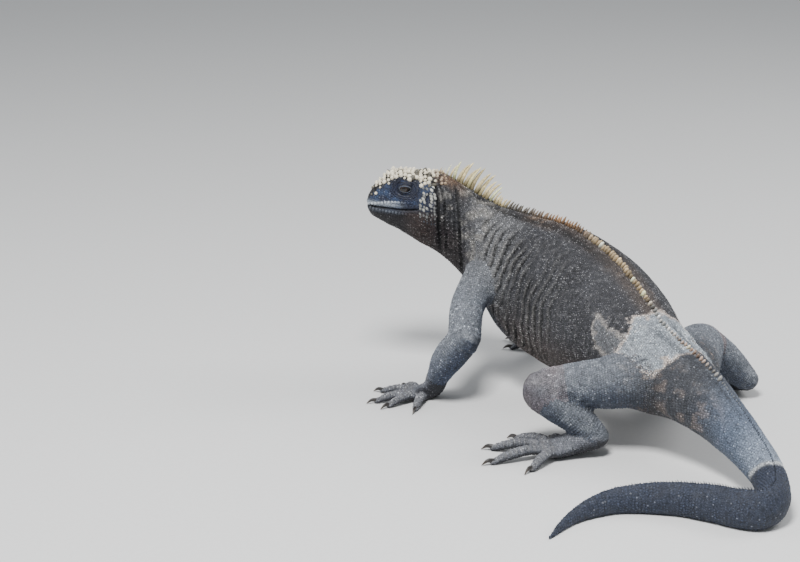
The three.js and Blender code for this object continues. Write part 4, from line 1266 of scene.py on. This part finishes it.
class IGUANA_OT_scales(bpy.types.Operator):
    """Covers neck, trunk, legs and tail with rows of scales"""

    bl_idname = "iguana.scales"
    bl_label = "Make Scales"

    def execute(self, context):
        sizes = context.scene.iguana_sizes
        granule = scale_shape("granule_shape", 5, [(1, -0.5, 1), (0.72, 0.62, 0.72)])
        keeled = scale_shape("keeled_shape", 5, [(1, -0.5, 1), (0.7, 0.55, 0.62)], bend=0.35)
        horn = finish_of("Scale horn", horn_material, 0.55, 700.0, 0.35)
        step = sizes.trunk_scale / MM
        zones = (
            ("scales_neck", HEAD_END - 26, place_of_ring(2.4), step * 0.92, granule, 0.62),
            ("scales_chest", place_of_ring(2.4), place_of_ring(5.2), step, granule, 0.6),
            ("scales_trunk", place_of_ring(5.2), place_of_ring(8), step, granule, 0.55),
            ("scales_hips", place_of_ring(8), place_of_ring(11), step, granule, 0.5),
        )
        for number, (name, start, end, spacing, shape, height) in enumerate(zones):
            random = np.random.default_rng(sizes.seed + number)
            place, angle = body_rows(start, end, spacing, spacing, random)
            self.cover(name, place, angle, spacing, shape, height, (start, end), random, horn, 18)
        tail = sizes.tail_scale / MM
        tail_zones = (
            ("scales_tail_root", place_of_ring(11), place_of_ring(15)),
            ("scales_tail_end", place_of_ring(15), BODY_END - 3),
        )
        for number, (name, start, end) in enumerate(tail_zones):
            random = np.random.default_rng(sizes.seed + 20 + number)
            place, angle = body_rows(start, end, tail, tail * 0.8, random)
            self.cover(name, place, angle, tail * 0.92, keeled, 0.6, (start, end), random, horn, 14)
        self.legs(sizes, keeled, horn)
        for shape in (granule, keeled):
            bpy.data.objects.remove(shape)
        return {"FINISHED"}

    @staticmethod
    def cover(name, place, angle, spacing, shape, height, span, random, material, tilt):
        """One zone of the body."""
        points = body_points(place, angle)
        along = body_points(np.minimum(place + 1, BODY_END), angle) - body_points(place - 1, angle)
        keep, places, turn = settled(points, along, tilt)
        place, angle = place[keep], angle[keep]
        rise = upright_angle(angle)
        holds = (place > HEAD_END - 4) | (rise < -8) | (place > HEAD_END - 14) & (rise < 55)
        places, turn, place, angle = places[holds], turn[holds], place[holds], angle[holds]
        tint = markings(places, np.full(len(place), -1), place, angle, made["tubes"])
        calm = smooth_step(place_of_ring(10.5), place_of_ring(13), place.mean())
        tint = speckled(tint, random, 0.42 - 0.22 * calm, 0.16 - 0.13 * calm)
        fade = np.clip(0.75 + 0.3 * cell_noise(places, 14, 40), 0.5, 1.1)
        half = spacing * 0.5 * fade
        spread = np.stack([half, half * 0.95, height * fade], -1)
        chart = chart_place((place - span[0]) / (span[1] - span[0]), angle / (2 * math.pi))
        # strength of the painted shade at the foot of each scale, weaker towards the tail
        foot_shade = 0.6 - 0.25 * calm
        return stand_shapes(name, shape, places, turn, spread, tint, chart, material, foot_shade=foot_shade)

    @staticmethod
    def legs(sizes, shape, material):
        """All scales of legs, hands and feet, in one piece for the fore legs and one for the hind legs."""
        tubes = made["tubes"]
        spacing = sizes.limb_scale / MM
        for kind in ("fore", "hind"):
            random = np.random.default_rng(sizes.seed + 40 + len(kind) + ord(kind[0]))
            columns = [n for n, tube in enumerate(tubes) if LEGS[tube.leg]["kind"] == kind]
            roots, runs, rows, charts, spreads = [], [], [], [], []
            for column, number in enumerate(columns):
                tube = tubes[number]
                small = tube.kind == "digit"
                step = spacing * (0.92 if small else 1)
                size = np.pi * (tube.wide + tube.deep)
                share, turn = scale_rows(
                    tube.length, lambda s: float(np.interp(s, tube.share, size)),
                    step * (1.25 if small else 1), step, random,
                )
                angle = turn * 2 * math.pi
                roots.append(tube.points(share, angle))
                runs.append(tube.at(share, tube.along))
                rows.append(np.stack([np.full(len(share), float(number)), share, angle], -1))
                charts.append(chart_place(share, turn, column, len(columns)))
                half = step * 0.5 * random.uniform(0.85, 1.1, len(share))
                plate = 1 + 0.35 * small * np.clip(np.sin(angle), 0, 1)
                height = np.full(len(share), 0.36 if small else 0.52)
                spreads.append(np.stack([half, half * plate, height], -1))
            roots, runs, rows = np.vstack(roots), np.vstack(runs), np.vstack(rows)
            keep, places, turn = settled(roots, runs, 14, deepest=1.6, farthest=3.0)
            clear = spaced(places, spacing * 0.66)
            clear &= places[:, 2] > 0.8
            keep, places, turn = keep[clear], places[clear], turn[clear]
            part, place, angle = rows[keep].T
            fore = kind == "fore"
            tint = limb_markings(places, part, place, angle, tubes)
            tint = speckled(tint, random, 0.3 if fore else 0.22, 0.09 if fore else 0.03)
            stand_shapes(
                "scales_%s_legs" % kind, shape, places, turn, np.vstack(spreads)[keep], tint,
                np.vstack(charts)[keep], material, foot_shade=0.55,
            )


class IGUANA_OT_head_scales(bpy.types.Operator):
    """Sets the pointed scales of the crown, the cheek scales, the lip plates and the scales of the face"""

    bl_idname = "iguana.head_scales"
    bl_label = "Make Head Scales"

    def execute(self, context):
        random = np.random.default_rng(context.scene.iguana_sizes.seed + 60)
        paint = context.scene.iguana_colours
        horn = finish_of("Pale horn", horn_material, 0.5, 900.0, 0.4)
        cone_rings = [(1.05, -0.4, 1.05), (0.88, 0.3, 0.88), (0.46, 0.76, 0.46)]
        cone = scale_shape("crown_shape", 6, cone_rings, bend=0.12)
        long_cone = scale_shape("cheek_shape", 6, [(1, -0.4, 0.6), (0.8, 0.5, 0.5)], bend=0.5)
        dome = scale_shape("face_shape", 5, [(1, -0.5, 1), (0.75, 0.6, 0.75)])
        self.crown(random, paint, cone, horn)
        self.cheeks(random, long_cone, horn)
        self.lips(random, dome, horn)
        self.face(random, dome, horn)
        for shape in (cone, long_cone, dome):
            bpy.data.objects.remove(shape)
        return {"FINISHED"}

    @staticmethod
    def place_scales(
        name, place, angle, tilt, half, height, tint_of, shape, material, foot_shade, least, seed, slant=0
    ):
        """Scales of the head from their places and angles, with sizes that may differ among them."""
        points = body_points(place, angle)
        drop = slant * np.sign(np.cos(angle))
        along = body_points(place + 1, angle - drop) - body_points(np.maximum(place - 1, 0.02), angle + drop)
        keep, places, turn = settled(points, along, tilt)
        clear = spaced(places, least)
        keep, places, turn = keep[clear], places[clear], turn[clear]
        place, angle = place[keep], angle[keep]
        half = np.broadcast_to(half, len(points))[keep]
        height = np.broadcast_to(height, len(points))[keep]
        tint = tint_of(places, place, angle)
        spread = np.stack([half, half, height], -1)
        chart = chart_place(place / HEAD_CHART, angle / (2 * math.pi))
        return stand_shapes(
            name, shape, places, turn, spread, tint, chart, material, foot_shade=foot_shade, seed=seed
        )

    def crown(self, random, paint, shape, material):
        """Tall pointed scales from the snout to the nape."""
        place, angle = body_rows(2.5, 70, 3.4, 3.7, random)
        rise = upright_angle(angle)
        near_eye = np.abs(place - EYE["behind"]) < 13
        low = np.where(near_eye, 60, 43) - 14 * smooth_fall(3, 12, place) + 6 * smooth_step(52, 68, place)
        low = low + random.uniform(-4, 4, len(low))
        turn = np.where(np.cos(angle) > 0, NOSTRIL["angle"], math.pi - NOSTRIL["angle"])
        nostrils = body_points(np.full(len(place), NOSTRIL["behind"]), turn)
        keep = (rise > low) & (np.linalg.norm(body_points(place, angle) - nostrils, axis=1) > 3.2)
        place, angle, rise = place[keep], angle[keep], rise[keep]
        size = random.uniform(0.65, 1.3, len(place)) * (1 - 0.4 * smooth_step(56, 70, place))
        size = size * (0.55 + 0.45 * smooth_step(3, 17, place))

        def tint_of(places, at, _):
            old = smooth_step(0.1, 0.8, rough_noise(places, 9, 50) + 0.3)
            tint = mixed(np.tile(np.array(paint.crown), (len(places), 1)), 0.25 * old, hue(176, 160, 134))
            tint = mixed(tint, smooth_step(54, 67, at) * 0.75, hue(138, 102, 72))
            dark = random.uniform(0, 1, len(places)) < 0.15
            tint[dark] = tint[dark] * 0.14
            return tint

        height = 2.5 * size * random.uniform(0.75, 1.3, len(size))
        self.place_scales(
            "crown_scales", place, angle, 10, 2.2 * size, height, tint_of, shape, material, 0.8, 2.7, 3
        )

    def cheeks(self, random, shape, material):
        """Pale long scales between the eye and the folds of the neck."""
        place, angle = body_rows(41, 60.5, 3.1, 2.5, random)
        rise = upright_angle(angle)
        behind_eye = (rise > 2) & (rise < 47) & (place > 44 + 0.1 * rise)
        below = (rise > -22) & (rise <= 2) & (place > 46)
        keep = behind_eye | below
        place, angle, rise = place[keep], angle[keep], rise[keep]
        size = random.uniform(0.75, 1.15, len(place)) * (1 - 0.35 * smooth_step(4, -20, rise))

        def tint_of(places, at, turn):
            pale = smooth_step(-24, 8, upright_angle(turn)) * random.uniform(0.2, 1, len(places))
            return mixed(np.tile(hue(52, 56, 66), (len(places), 1)), pale, hue(196, 196, 188))

        self.place_scales(
            "cheek_scales", place, angle, 24, 2.35 * size, 1.15 * size, tint_of, shape, material,
            0.8, 2.4, 5, slant=0.06,
        )

    @staticmethod
    def lips(random, shape, material):
        """A row of plates above the mouth and one below it, on both sides."""
        place, angle, heights = [], [], []
        for lift, first in ((0.13, 1.0), (-0.2, 2.0)):
            for at in np.arange(first, MOUTH_CORNER - 5, 2.9):
                for side in (0, 1):
                    place.append(at)
                    angle.append(lift if side == 0 else math.pi - lift)
                    heights.append(lift)
        place, angle, heights = np.array(place), np.array(angle) % (2 * math.pi), np.array(heights)
        points = body_points(place, angle)
        along = body_points(place + 1, angle) - body_points(np.maximum(place - 1, 0.02), angle)
        keep, places, turn = settled(points, along, 0)
        place, angle, heights = place[keep], angle[keep], heights[keep]
        tint = markings(places, np.full(len(place), -1), place, angle, made["tubes"])
        pale = np.where(heights > 0, 0.55, 0.08) * smooth_fall(20, 36, place)
        tint = mixed(tint, pale, hue(186, 192, 198))
        tint = speckled(tint, random, 0.12, 0)
        spread = np.stack([np.full(len(place), 1.75), np.full(len(place), 1.6), np.full(len(place), 0.8)], -1)
        chart = chart_place(place / HEAD_CHART, angle / (2 * math.pi))
        stand_shapes(
            "lip_plates", shape, places, turn, spread, tint, chart, material, foot_shade=0.3, seed=7
        )

    def face(self, random, shape, material):
        """Small round scales over face, throat and snout."""
        place, angle = body_rows(1.5, HEAD_END - 24, 1.55, 1.6, random)
        rise = upright_angle(angle)
        points = body_points(place, angle)
        behind, _, height = head_places(points)
        mouth = (np.abs(height - MOUTH_HEIGHT) > 3.6) | (behind > MOUTH_CORNER)
        keep = (eye_spread(points) > 11) & mouth & (rise < 62)
        place, angle = place[keep], angle[keep]

        def tint_of(places, at, turn):
            tint = markings(places, np.full(len(places), -1), at, turn, made["tubes"])
            return speckled(tint, random, 0.25, 0.05)

        self.place_scales("face_scales", place, angle, 12, 0.72, 0.4, tint_of, shape, material, 0.35, 1.0, 9)


class IGUANA_OT_crest(bpy.types.Operator):
    """Stands the spines of the crest along neck, back and tail"""

    bl_idname = "iguana.crest"
    bl_label = "Make Crest"

    def execute(self, context):
        sizes, paint = context.scene.iguana_sizes, context.scene.iguana_colours
        random = np.random.default_rng(sizes.seed + 80)
        horn = finish_of("Crest horn", horn_material, 0.48, 600.0, 0.45)
        long_rings = [
            (0.092, -0.14, 0.075), (0.09, 0.12, 0.066), (0.08, 0.4, 0.054), (0.066, 0.64, 0.04),
            (0.042, 0.86, 0.024),
        ]
        short_rings = [(0.17, -0.3, 0.15), (0.16, 0.2, 0.12), (0.125, 0.55, 0.08), (0.07, 0.82, 0.045)]
        rope_rings = [(0.3, -0.5, 0.56), (0.31, 0.2, 0.5), (0.22, 0.72, 0.3)]
        slender = scale_shape("slender_shape", 7, long_rings, bend=0.3)
        stout = scale_shape("stout_shape", 6, short_rings, bend=0.16)
        knot = scale_shape("rope_shape", 6, rope_rings, bend=0.1)
        rings, lengths = zip(*CREST_LENGTHS)
        stations = [place_of_ring(ring) for ring in rings]
        step = sizes.crest_step / MM
        neck_end, rope_start, rope_end = place_of_ring(2.45), place_of_ring(6), place_of_ring(12.4)
        zones = (
            ("crest_neck", slender, HEAD_END - 3, neck_end, step * 1.2, 1.2, 11),
            ("crest_back", stout, neck_end, rope_start, step * 1.15, 1.15, 13),
            ("crest_hips", knot, rope_start, rope_end, step * 1.28, 0.9, 15),
            ("crest_tail", stout, rope_end, BODY_END - 3, step * 0.8, 0.62, 17),
        )
        for name, shape, first, last, gap, stretch, seed in zones:
            at = np.arange(first, last, gap)
            at = at + random.uniform(-0.16, 0.16, len(at)) * gap
            tall = smooth_value(stations, lengths, at) * random.uniform(0.88, 1.08, len(at)) * stretch
            angle = np.full(len(at), math.pi / 2) + random.normal(0, 0.012, len(at))
            points = body_points(at, angle)
            along = body_points(at + 1, angle) - body_points(at - 1, angle)
            slope = np.degrees(np.arcsin(-unit(along)[:, 2]))
            lean = 10 + 14 * smooth_step(HEAD_END, place_of_ring(2.3), at) - slope
            keep, places, turn = settled(points, along, lean + random.normal(0, 3, len(at)), deepest=3)
            at, tall = at[keep], tall[keep]
            ring = ring_of_place(at)
            tint = np.tile(np.array(paint.crest), (len(at), 1))
            tint = mixed(tint, smooth_step(2.6, 3.1, ring), hue(112, 106, 98))
            tint = mixed(tint, bump(ring, 5.1, 0.8) * 0.75, hue(182, 138, 96))
            tint = mixed(tint, smooth_step(6.0, 6.6, ring), hue(206, 182, 144))
            tint = mixed(tint, smooth_step(8.9, 9.4, ring), hue(176, 176, 172))
            tint = mixed(tint, bump(ring, 11.2, 0.7) * 0.7, hue(178, 132, 98))
            tint = mixed(tint, smooth_step(12.0, 14.0, ring), hue(66, 70, 80))
            tint = speckled(tint, random, 0.38 if shape is knot else 0.2, 0)
            spread = np.stack([tall, tall, tall], -1)
            chart = chart_place((at - HEAD_END) / (BODY_END - HEAD_END), np.full(len(at), 0.5))
            stand_shapes(
                name, shape, places, turn, spread, tint, chart, horn,
                foot_shade=0.78, variation=0.06, seed=seed,
            )
        for shape in (slender, stout, knot):
            bpy.data.objects.remove(shape)
        return {"FINISHED"}


class IGUANA_OT_eyes(bpy.types.Operator):
    """Makes the eyeballs, and the rolls of skin that are their lids"""

    bl_idname = "iguana.eyes"
    bl_label = "Make Eyes"

    def execute(self, context):
        for side, sign in (("left", 1), ("right", -1)):
            across = SNOUT - EYE["behind"] * HEAD_AXIS + sign * EYE["out"] * HEAD_LEFT
            centre = np.append(across, EYE["height"])
            look = np.append(sign * HEAD_LEFT * 0.985 + HEAD_AXIS * 0.17, 0.0)
            self.ball(side, centre, unit(look))
            self.lids(side, sign, centre)
        return {"FINISHED"}

    @staticmethod
    def ball(side, centre, look):
        """One eyeball with its poles on the line of sight, and a slight cornea."""
        upright = np.array([0, 0, 1.0])
        across = unit(np.cross(upright, look))
        upward = np.cross(look, across)
        turn = full_turn(40)
        rings, shade = [], []
        for away in np.radians(np.concatenate([np.linspace(2, 44, 22), np.linspace(50, 176, 15)])):
            radius = EYE["radius"] - 0.05 + 0.35 * (1 - float(smooth_step(0.3, 0.62, away)))
            reach = radius * math.sin(away)
            rings.append(
                centre + look * radius * math.cos(away) + np.outer(np.cos(turn) * reach, across)
                + np.outer(np.sin(turn) * reach, upward)
            )
            shade.append(away)
        points, faces = closed_loft(rings)
        eye = mesh_object("eyeball_" + side, points, faces)
        away = np.concatenate([np.repeat(shade, 40), [0, math.pi]])
        colour = np.tile(hue(34, 26, 22), (len(points), 1))
        turned = np.concatenate([np.tile(turn, len(rings)), [0, 0]])
        rays = 0.5 + 0.5 * np.cos(turned * 20)
        colour = mixed(colour, 0.3 * rays, hue(66, 48, 32))
        colour = mixed(colour, smooth_step(0.42, 0.54, away), hue(16, 15, 18))
        colour = mixed(colour, 1 - smooth_step(0.20, 0.26, away), hue(5, 5, 6))
        paint_points(eye.data, colour)
        material = finish_of("Wet eye", horn_material, 0.16, 1500.0, 0.35)
        material.node_tree.nodes["Principled BSDF"].inputs["Coat Weight"].default_value = 0.4
        material.node_tree.nodes["Principled BSDF"].inputs["Coat Roughness"].default_value = 0.03
        eye.data.materials.append(material)
        show_smooth(eye.data)
        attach(eye, "root")
        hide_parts("eye_" + side)

    @staticmethod
    def lids(side, sign, centre):
        """The skin round one eye: a rim at the opening and shallow rolls that run out onto the face, with
        painted shade in the troughs between the rolls.
        """
        ahead = np.append(HEAD_AXIS, 0.0)
        outward = np.append(sign * HEAD_LEFT, 0.0)
        surface = made["surface"]
        around, rows = 72, 22
        turn = full_turn(around)
        share = np.linspace(0, 1, rows)
        outer = np.zeros((rows, around, 3))
        for i, s in enumerate(share):
            forward = (4.7 + 7.6 * s) * np.cos(turn)
            upward = (2.35 + 6.6 * s) * np.sin(turn) + 0.08 * forward * (1 - s)
            for j in range(around):
                inside = EYE["radius"] ** 2 - forward[j] ** 2 - upward[j] ** 2
                ball = math.sqrt(inside) + 0.25 if inside > 0 else -4.0
                start = centre + ahead * forward[j] + outward * 40
                start[2] += upward[j]
                hit = surface.ray_cast(Vector((start + TO_FRAME) * MM), Vector(-outward), 0.06)[0]
                skin = float((np.array(hit) / MM - TO_FRAME - centre) @ outward) if hit else ball
                out = (ball + skin + math.hypot(ball - skin, 0.7)) / 2
                outer[i, j] = centre + ahead * forward[j] + outward * out
                outer[i, j, 2] += upward[j]
        rolls = 0.32 * np.sin(share * 2 * math.pi * LID_ROLLS) * smooth_step(0.08, 0.2, share)
        rim = 0.5 * bump(share, 0.05, 0.05) + rolls
        rim = rim * smooth_fall(0.75, 0.95, share) - 1.1 * smooth_step(0.86, 1, share)
        crinkle = 1 + 0.25 * np.sin(turn[None] * 7 + share[:, None] * 9)
        outer += (rim[:, None] * crinkle)[..., None] * outward
        inner = outer - outward * np.linspace(0.8, 1.2, rows)[:, None, None]
        loop = np.concatenate([outer, inner[::-1]])
        lines = len(loop)
        points = loop.reshape(-1, 3)
        faces = [
            (i * around + j, i * around + (j + 1) % around, (i + 1) % lines * around + (j + 1) % around,
             (i + 1) % lines * around + j)
            for i in range(lines)
            for j in range(around)
        ]
        lids = mesh_object("eyelids_" + side, points, faces)
        build = bmesh.new()
        build.from_mesh(lids.data)
        bmesh.ops.recalc_face_normals(build, faces=build.faces)
        build.to_mesh(lids.data)
        build.free()
        run = np.repeat(np.concatenate([share, share[::-1]]), around)
        colour = np.tile(hue(26, 32, 52), (len(points), 1))
        colour = mixed(colour, bump(run, 0.06, 0.06) * 0.75, hue(104, 110, 120))
        colour = mixed(colour, smooth_step(0.1, 0.8, rough_noise(points, 2.5, 70)) * 0.5, hue(66, 84, 122))
        # painted shade: darker in the troughs between the rolls of the lids
        colour = mixed(colour, 0.5 - 0.5 * np.sin(run * 2 * math.pi * LID_ROLLS), hue(16, 20, 34))
        paint_points(lids.data, colour)
        lids.data.materials.append(finish_of("Lid skin", skin_material, 0.8, 0.25, 0.5))
        show_smooth(lids.data)
        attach(lids, "root")


class IGUANA_OT_claws(bpy.types.Operator):
    """Makes the curved claws"""

    bl_idname = "iguana.claws"
    bl_label = "Make Claws"

    def execute(self, context):
        paint = context.scene.iguana_colours
        shapes, tips = [], []
        for tube in made["claws"]:
            share = tube.share[::2]
            shapes.append(closed_loft([tube.points(np.full(12, s), full_turn(12)) for s in share]))
            tips.append(np.concatenate([np.repeat(share, 12), [0, 1]]))
        claws = mesh_object("claws", *joined_shapes(shapes))
        tips = np.concatenate(tips)
        points = mesh_columns(claws.data)[0]
        colour = np.tile(np.array(paint.claw), (len(points), 1))
        colour = mixed(colour, smooth_step(0.5, 1.0, tips) * 0.6, hue(96, 84, 72))
        colour = mixed(colour, smooth_step(0.2, 0.8, cell_noise(points, 1.6, 80)) * 0.3, hue(84, 78, 74))
        paint_points(claws.data, colour)
        claws.data.materials.append(finish_of("Claw horn", horn_material, 0.34, 1100.0, 0.5))
        show_smooth(claws.data)
        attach(claws, "root")
        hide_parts(*CLAWS)
        return {"FINISHED"}


class IGUANA_OT_stage(bpy.types.Operator):
    """Sets up the floor, the studio lights and the camera"""

    bl_idname = "iguana.stage"
    bl_label = "Make Stage"

    def execute(self, context):
        scene = context.scene
        floor = bpy.data.objects.new("floor", bpy.data.meshes.new("floor"))
        corners = [(x * FLOOR_HALF, y * FLOOR_HALF, 0) for x, y in ((-1, -1), (1, -1), (1, 1), (-1, 1))]
        floor.data.from_pydata(corners, [], [(0, 1, 2, 3)])
        scene.collection.objects.link(floor)
        paper = bpy.data.materials.new("Pale floor")
        paper.use_nodes = True
        nodes, link = paper.node_tree.nodes, paper.node_tree.links.new
        shader = nodes["Principled BSDF"]
        grain = nodes.new("ShaderNodeTexNoise")
        grain.inputs["Scale"].default_value = 260
        ramp = nodes.new("ShaderNodeValToRGB")
        ramp.color_ramp.elements[0].color = (0.72, 0.72, 0.715, 1)
        ramp.color_ramp.elements[1].color = (0.78, 0.78, 0.77, 1)
        place = nodes.new("ShaderNodeTexCoord")
        link(place.outputs["Object"], grain.inputs["Vector"])
        link(grain.outputs["Fac"], ramp.inputs["Fac"])
        link(ramp.outputs["Color"], shader.inputs["Base Color"])
        shader.inputs["Roughness"].default_value = 0.85
        floor.data.materials.append(paper)
        world = bpy.data.worlds.new("Studio")
        world.use_nodes = True
        world.node_tree.nodes["Background"].inputs["Color"].default_value = (0.86, 0.9, 0.95, 1)
        world.node_tree.nodes["Background"].inputs["Strength"].default_value = 0.42
        scene.world = world
        lamps = (
            ("key", (-0.35, 0.75, 1.5), 0.45, 40.0),
            ("fill", (1.5, 1.1, 0.9), 1.4, 9.0),
            ("rim", (-0.6, -1.2, 1.3), 0.9, 16.0),
        )
        for name, place, size, power in lamps:
            light = bpy.data.lights.new(name, "AREA")
            light.size = size
            light.energy = power
            lamp = bpy.data.objects.new(name, light)
            lamp.location = place
            aim = Vector((0, 0, 0.06)) - Vector(place)
            lamp.rotation_euler = aim.to_track_quat("-Z", "Y").to_euler()
            scene.collection.objects.link(lamp)
        camera = bpy.data.objects.new("camera", bpy.data.cameras.new("camera"))
        towards = -np.array(
            [
                -math.sin(CAMERA_TURN) * math.cos(CAMERA_PITCH),
                math.cos(CAMERA_TURN) * math.cos(CAMERA_PITCH),
                math.sin(CAMERA_PITCH),
            ]
        )
        camera.rotation_mode = "QUATERNION"
        camera.rotation_quaternion = Vector(towards).to_track_quat("-Z", "Y")
        camera.location = (CAMERA_PLACE + TO_FRAME) * MM
        camera.data.sensor_width = SENSOR_WIDTH
        camera.data.lens = CAMERA_PIXELS / PICTURE_WIDTH * SENSOR_WIDTH
        camera.data.clip_start, camera.data.clip_end = 0.05, 60
        scene.collection.objects.link(camera)
        scene.camera = camera
        return {"FINISHED"}


class IGUANA_PT_panel(bpy.types.Panel):
    """The iguana's sizes, colours and pieces"""

    bl_idname = "IGUANA_PT_panel"
    bl_label = "Marine Iguana"
    bl_space_type = "VIEW_3D"
    bl_region_type = "UI"
    bl_category = "Iguana"

    def draw(self, context):
        for group in (context.scene.iguana_sizes, context.scene.iguana_colours):
            for name in group.__annotations__:
                self.layout.prop(group, name)
        for operator in OPERATORS:
            self.layout.operator(operator.bl_idname)


OPERATORS = (
    IGUANA_OT_skin, IGUANA_OT_scales, IGUANA_OT_head_scales, IGUANA_OT_crest, IGUANA_OT_eyes, IGUANA_OT_claws,
    IGUANA_OT_stage,
)
CLASSES = (IguanaSizes, IguanaColours, *OPERATORS, IGUANA_PT_panel)


def register():
    """Registers the classes and the scene's two groups of values."""
    for item in CLASSES:
        bpy.utils.register_class(item)
    bpy.types.Scene.iguana_sizes = PointerProperty(type=IguanaSizes)
    bpy.types.Scene.iguana_colours = PointerProperty(type=IguanaColours)


def unregister():
    """Takes back what register did."""
    del bpy.types.Scene.iguana_colours
    del bpy.types.Scene.iguana_sizes
    for item in reversed(CLASSES):
        bpy.utils.unregister_class(item)


def main():
    """Makes every piece in order."""
    register()
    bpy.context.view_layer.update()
    bpy.ops.iguana.skin()
    bpy.ops.iguana.scales()
    bpy.ops.iguana.head_scales()
    bpy.ops.iguana.crest()
    bpy.ops.iguana.eyes()
    bpy.ops.iguana.claws()
    bpy.ops.iguana.stage()


if __name__ == "__main__":
    main()
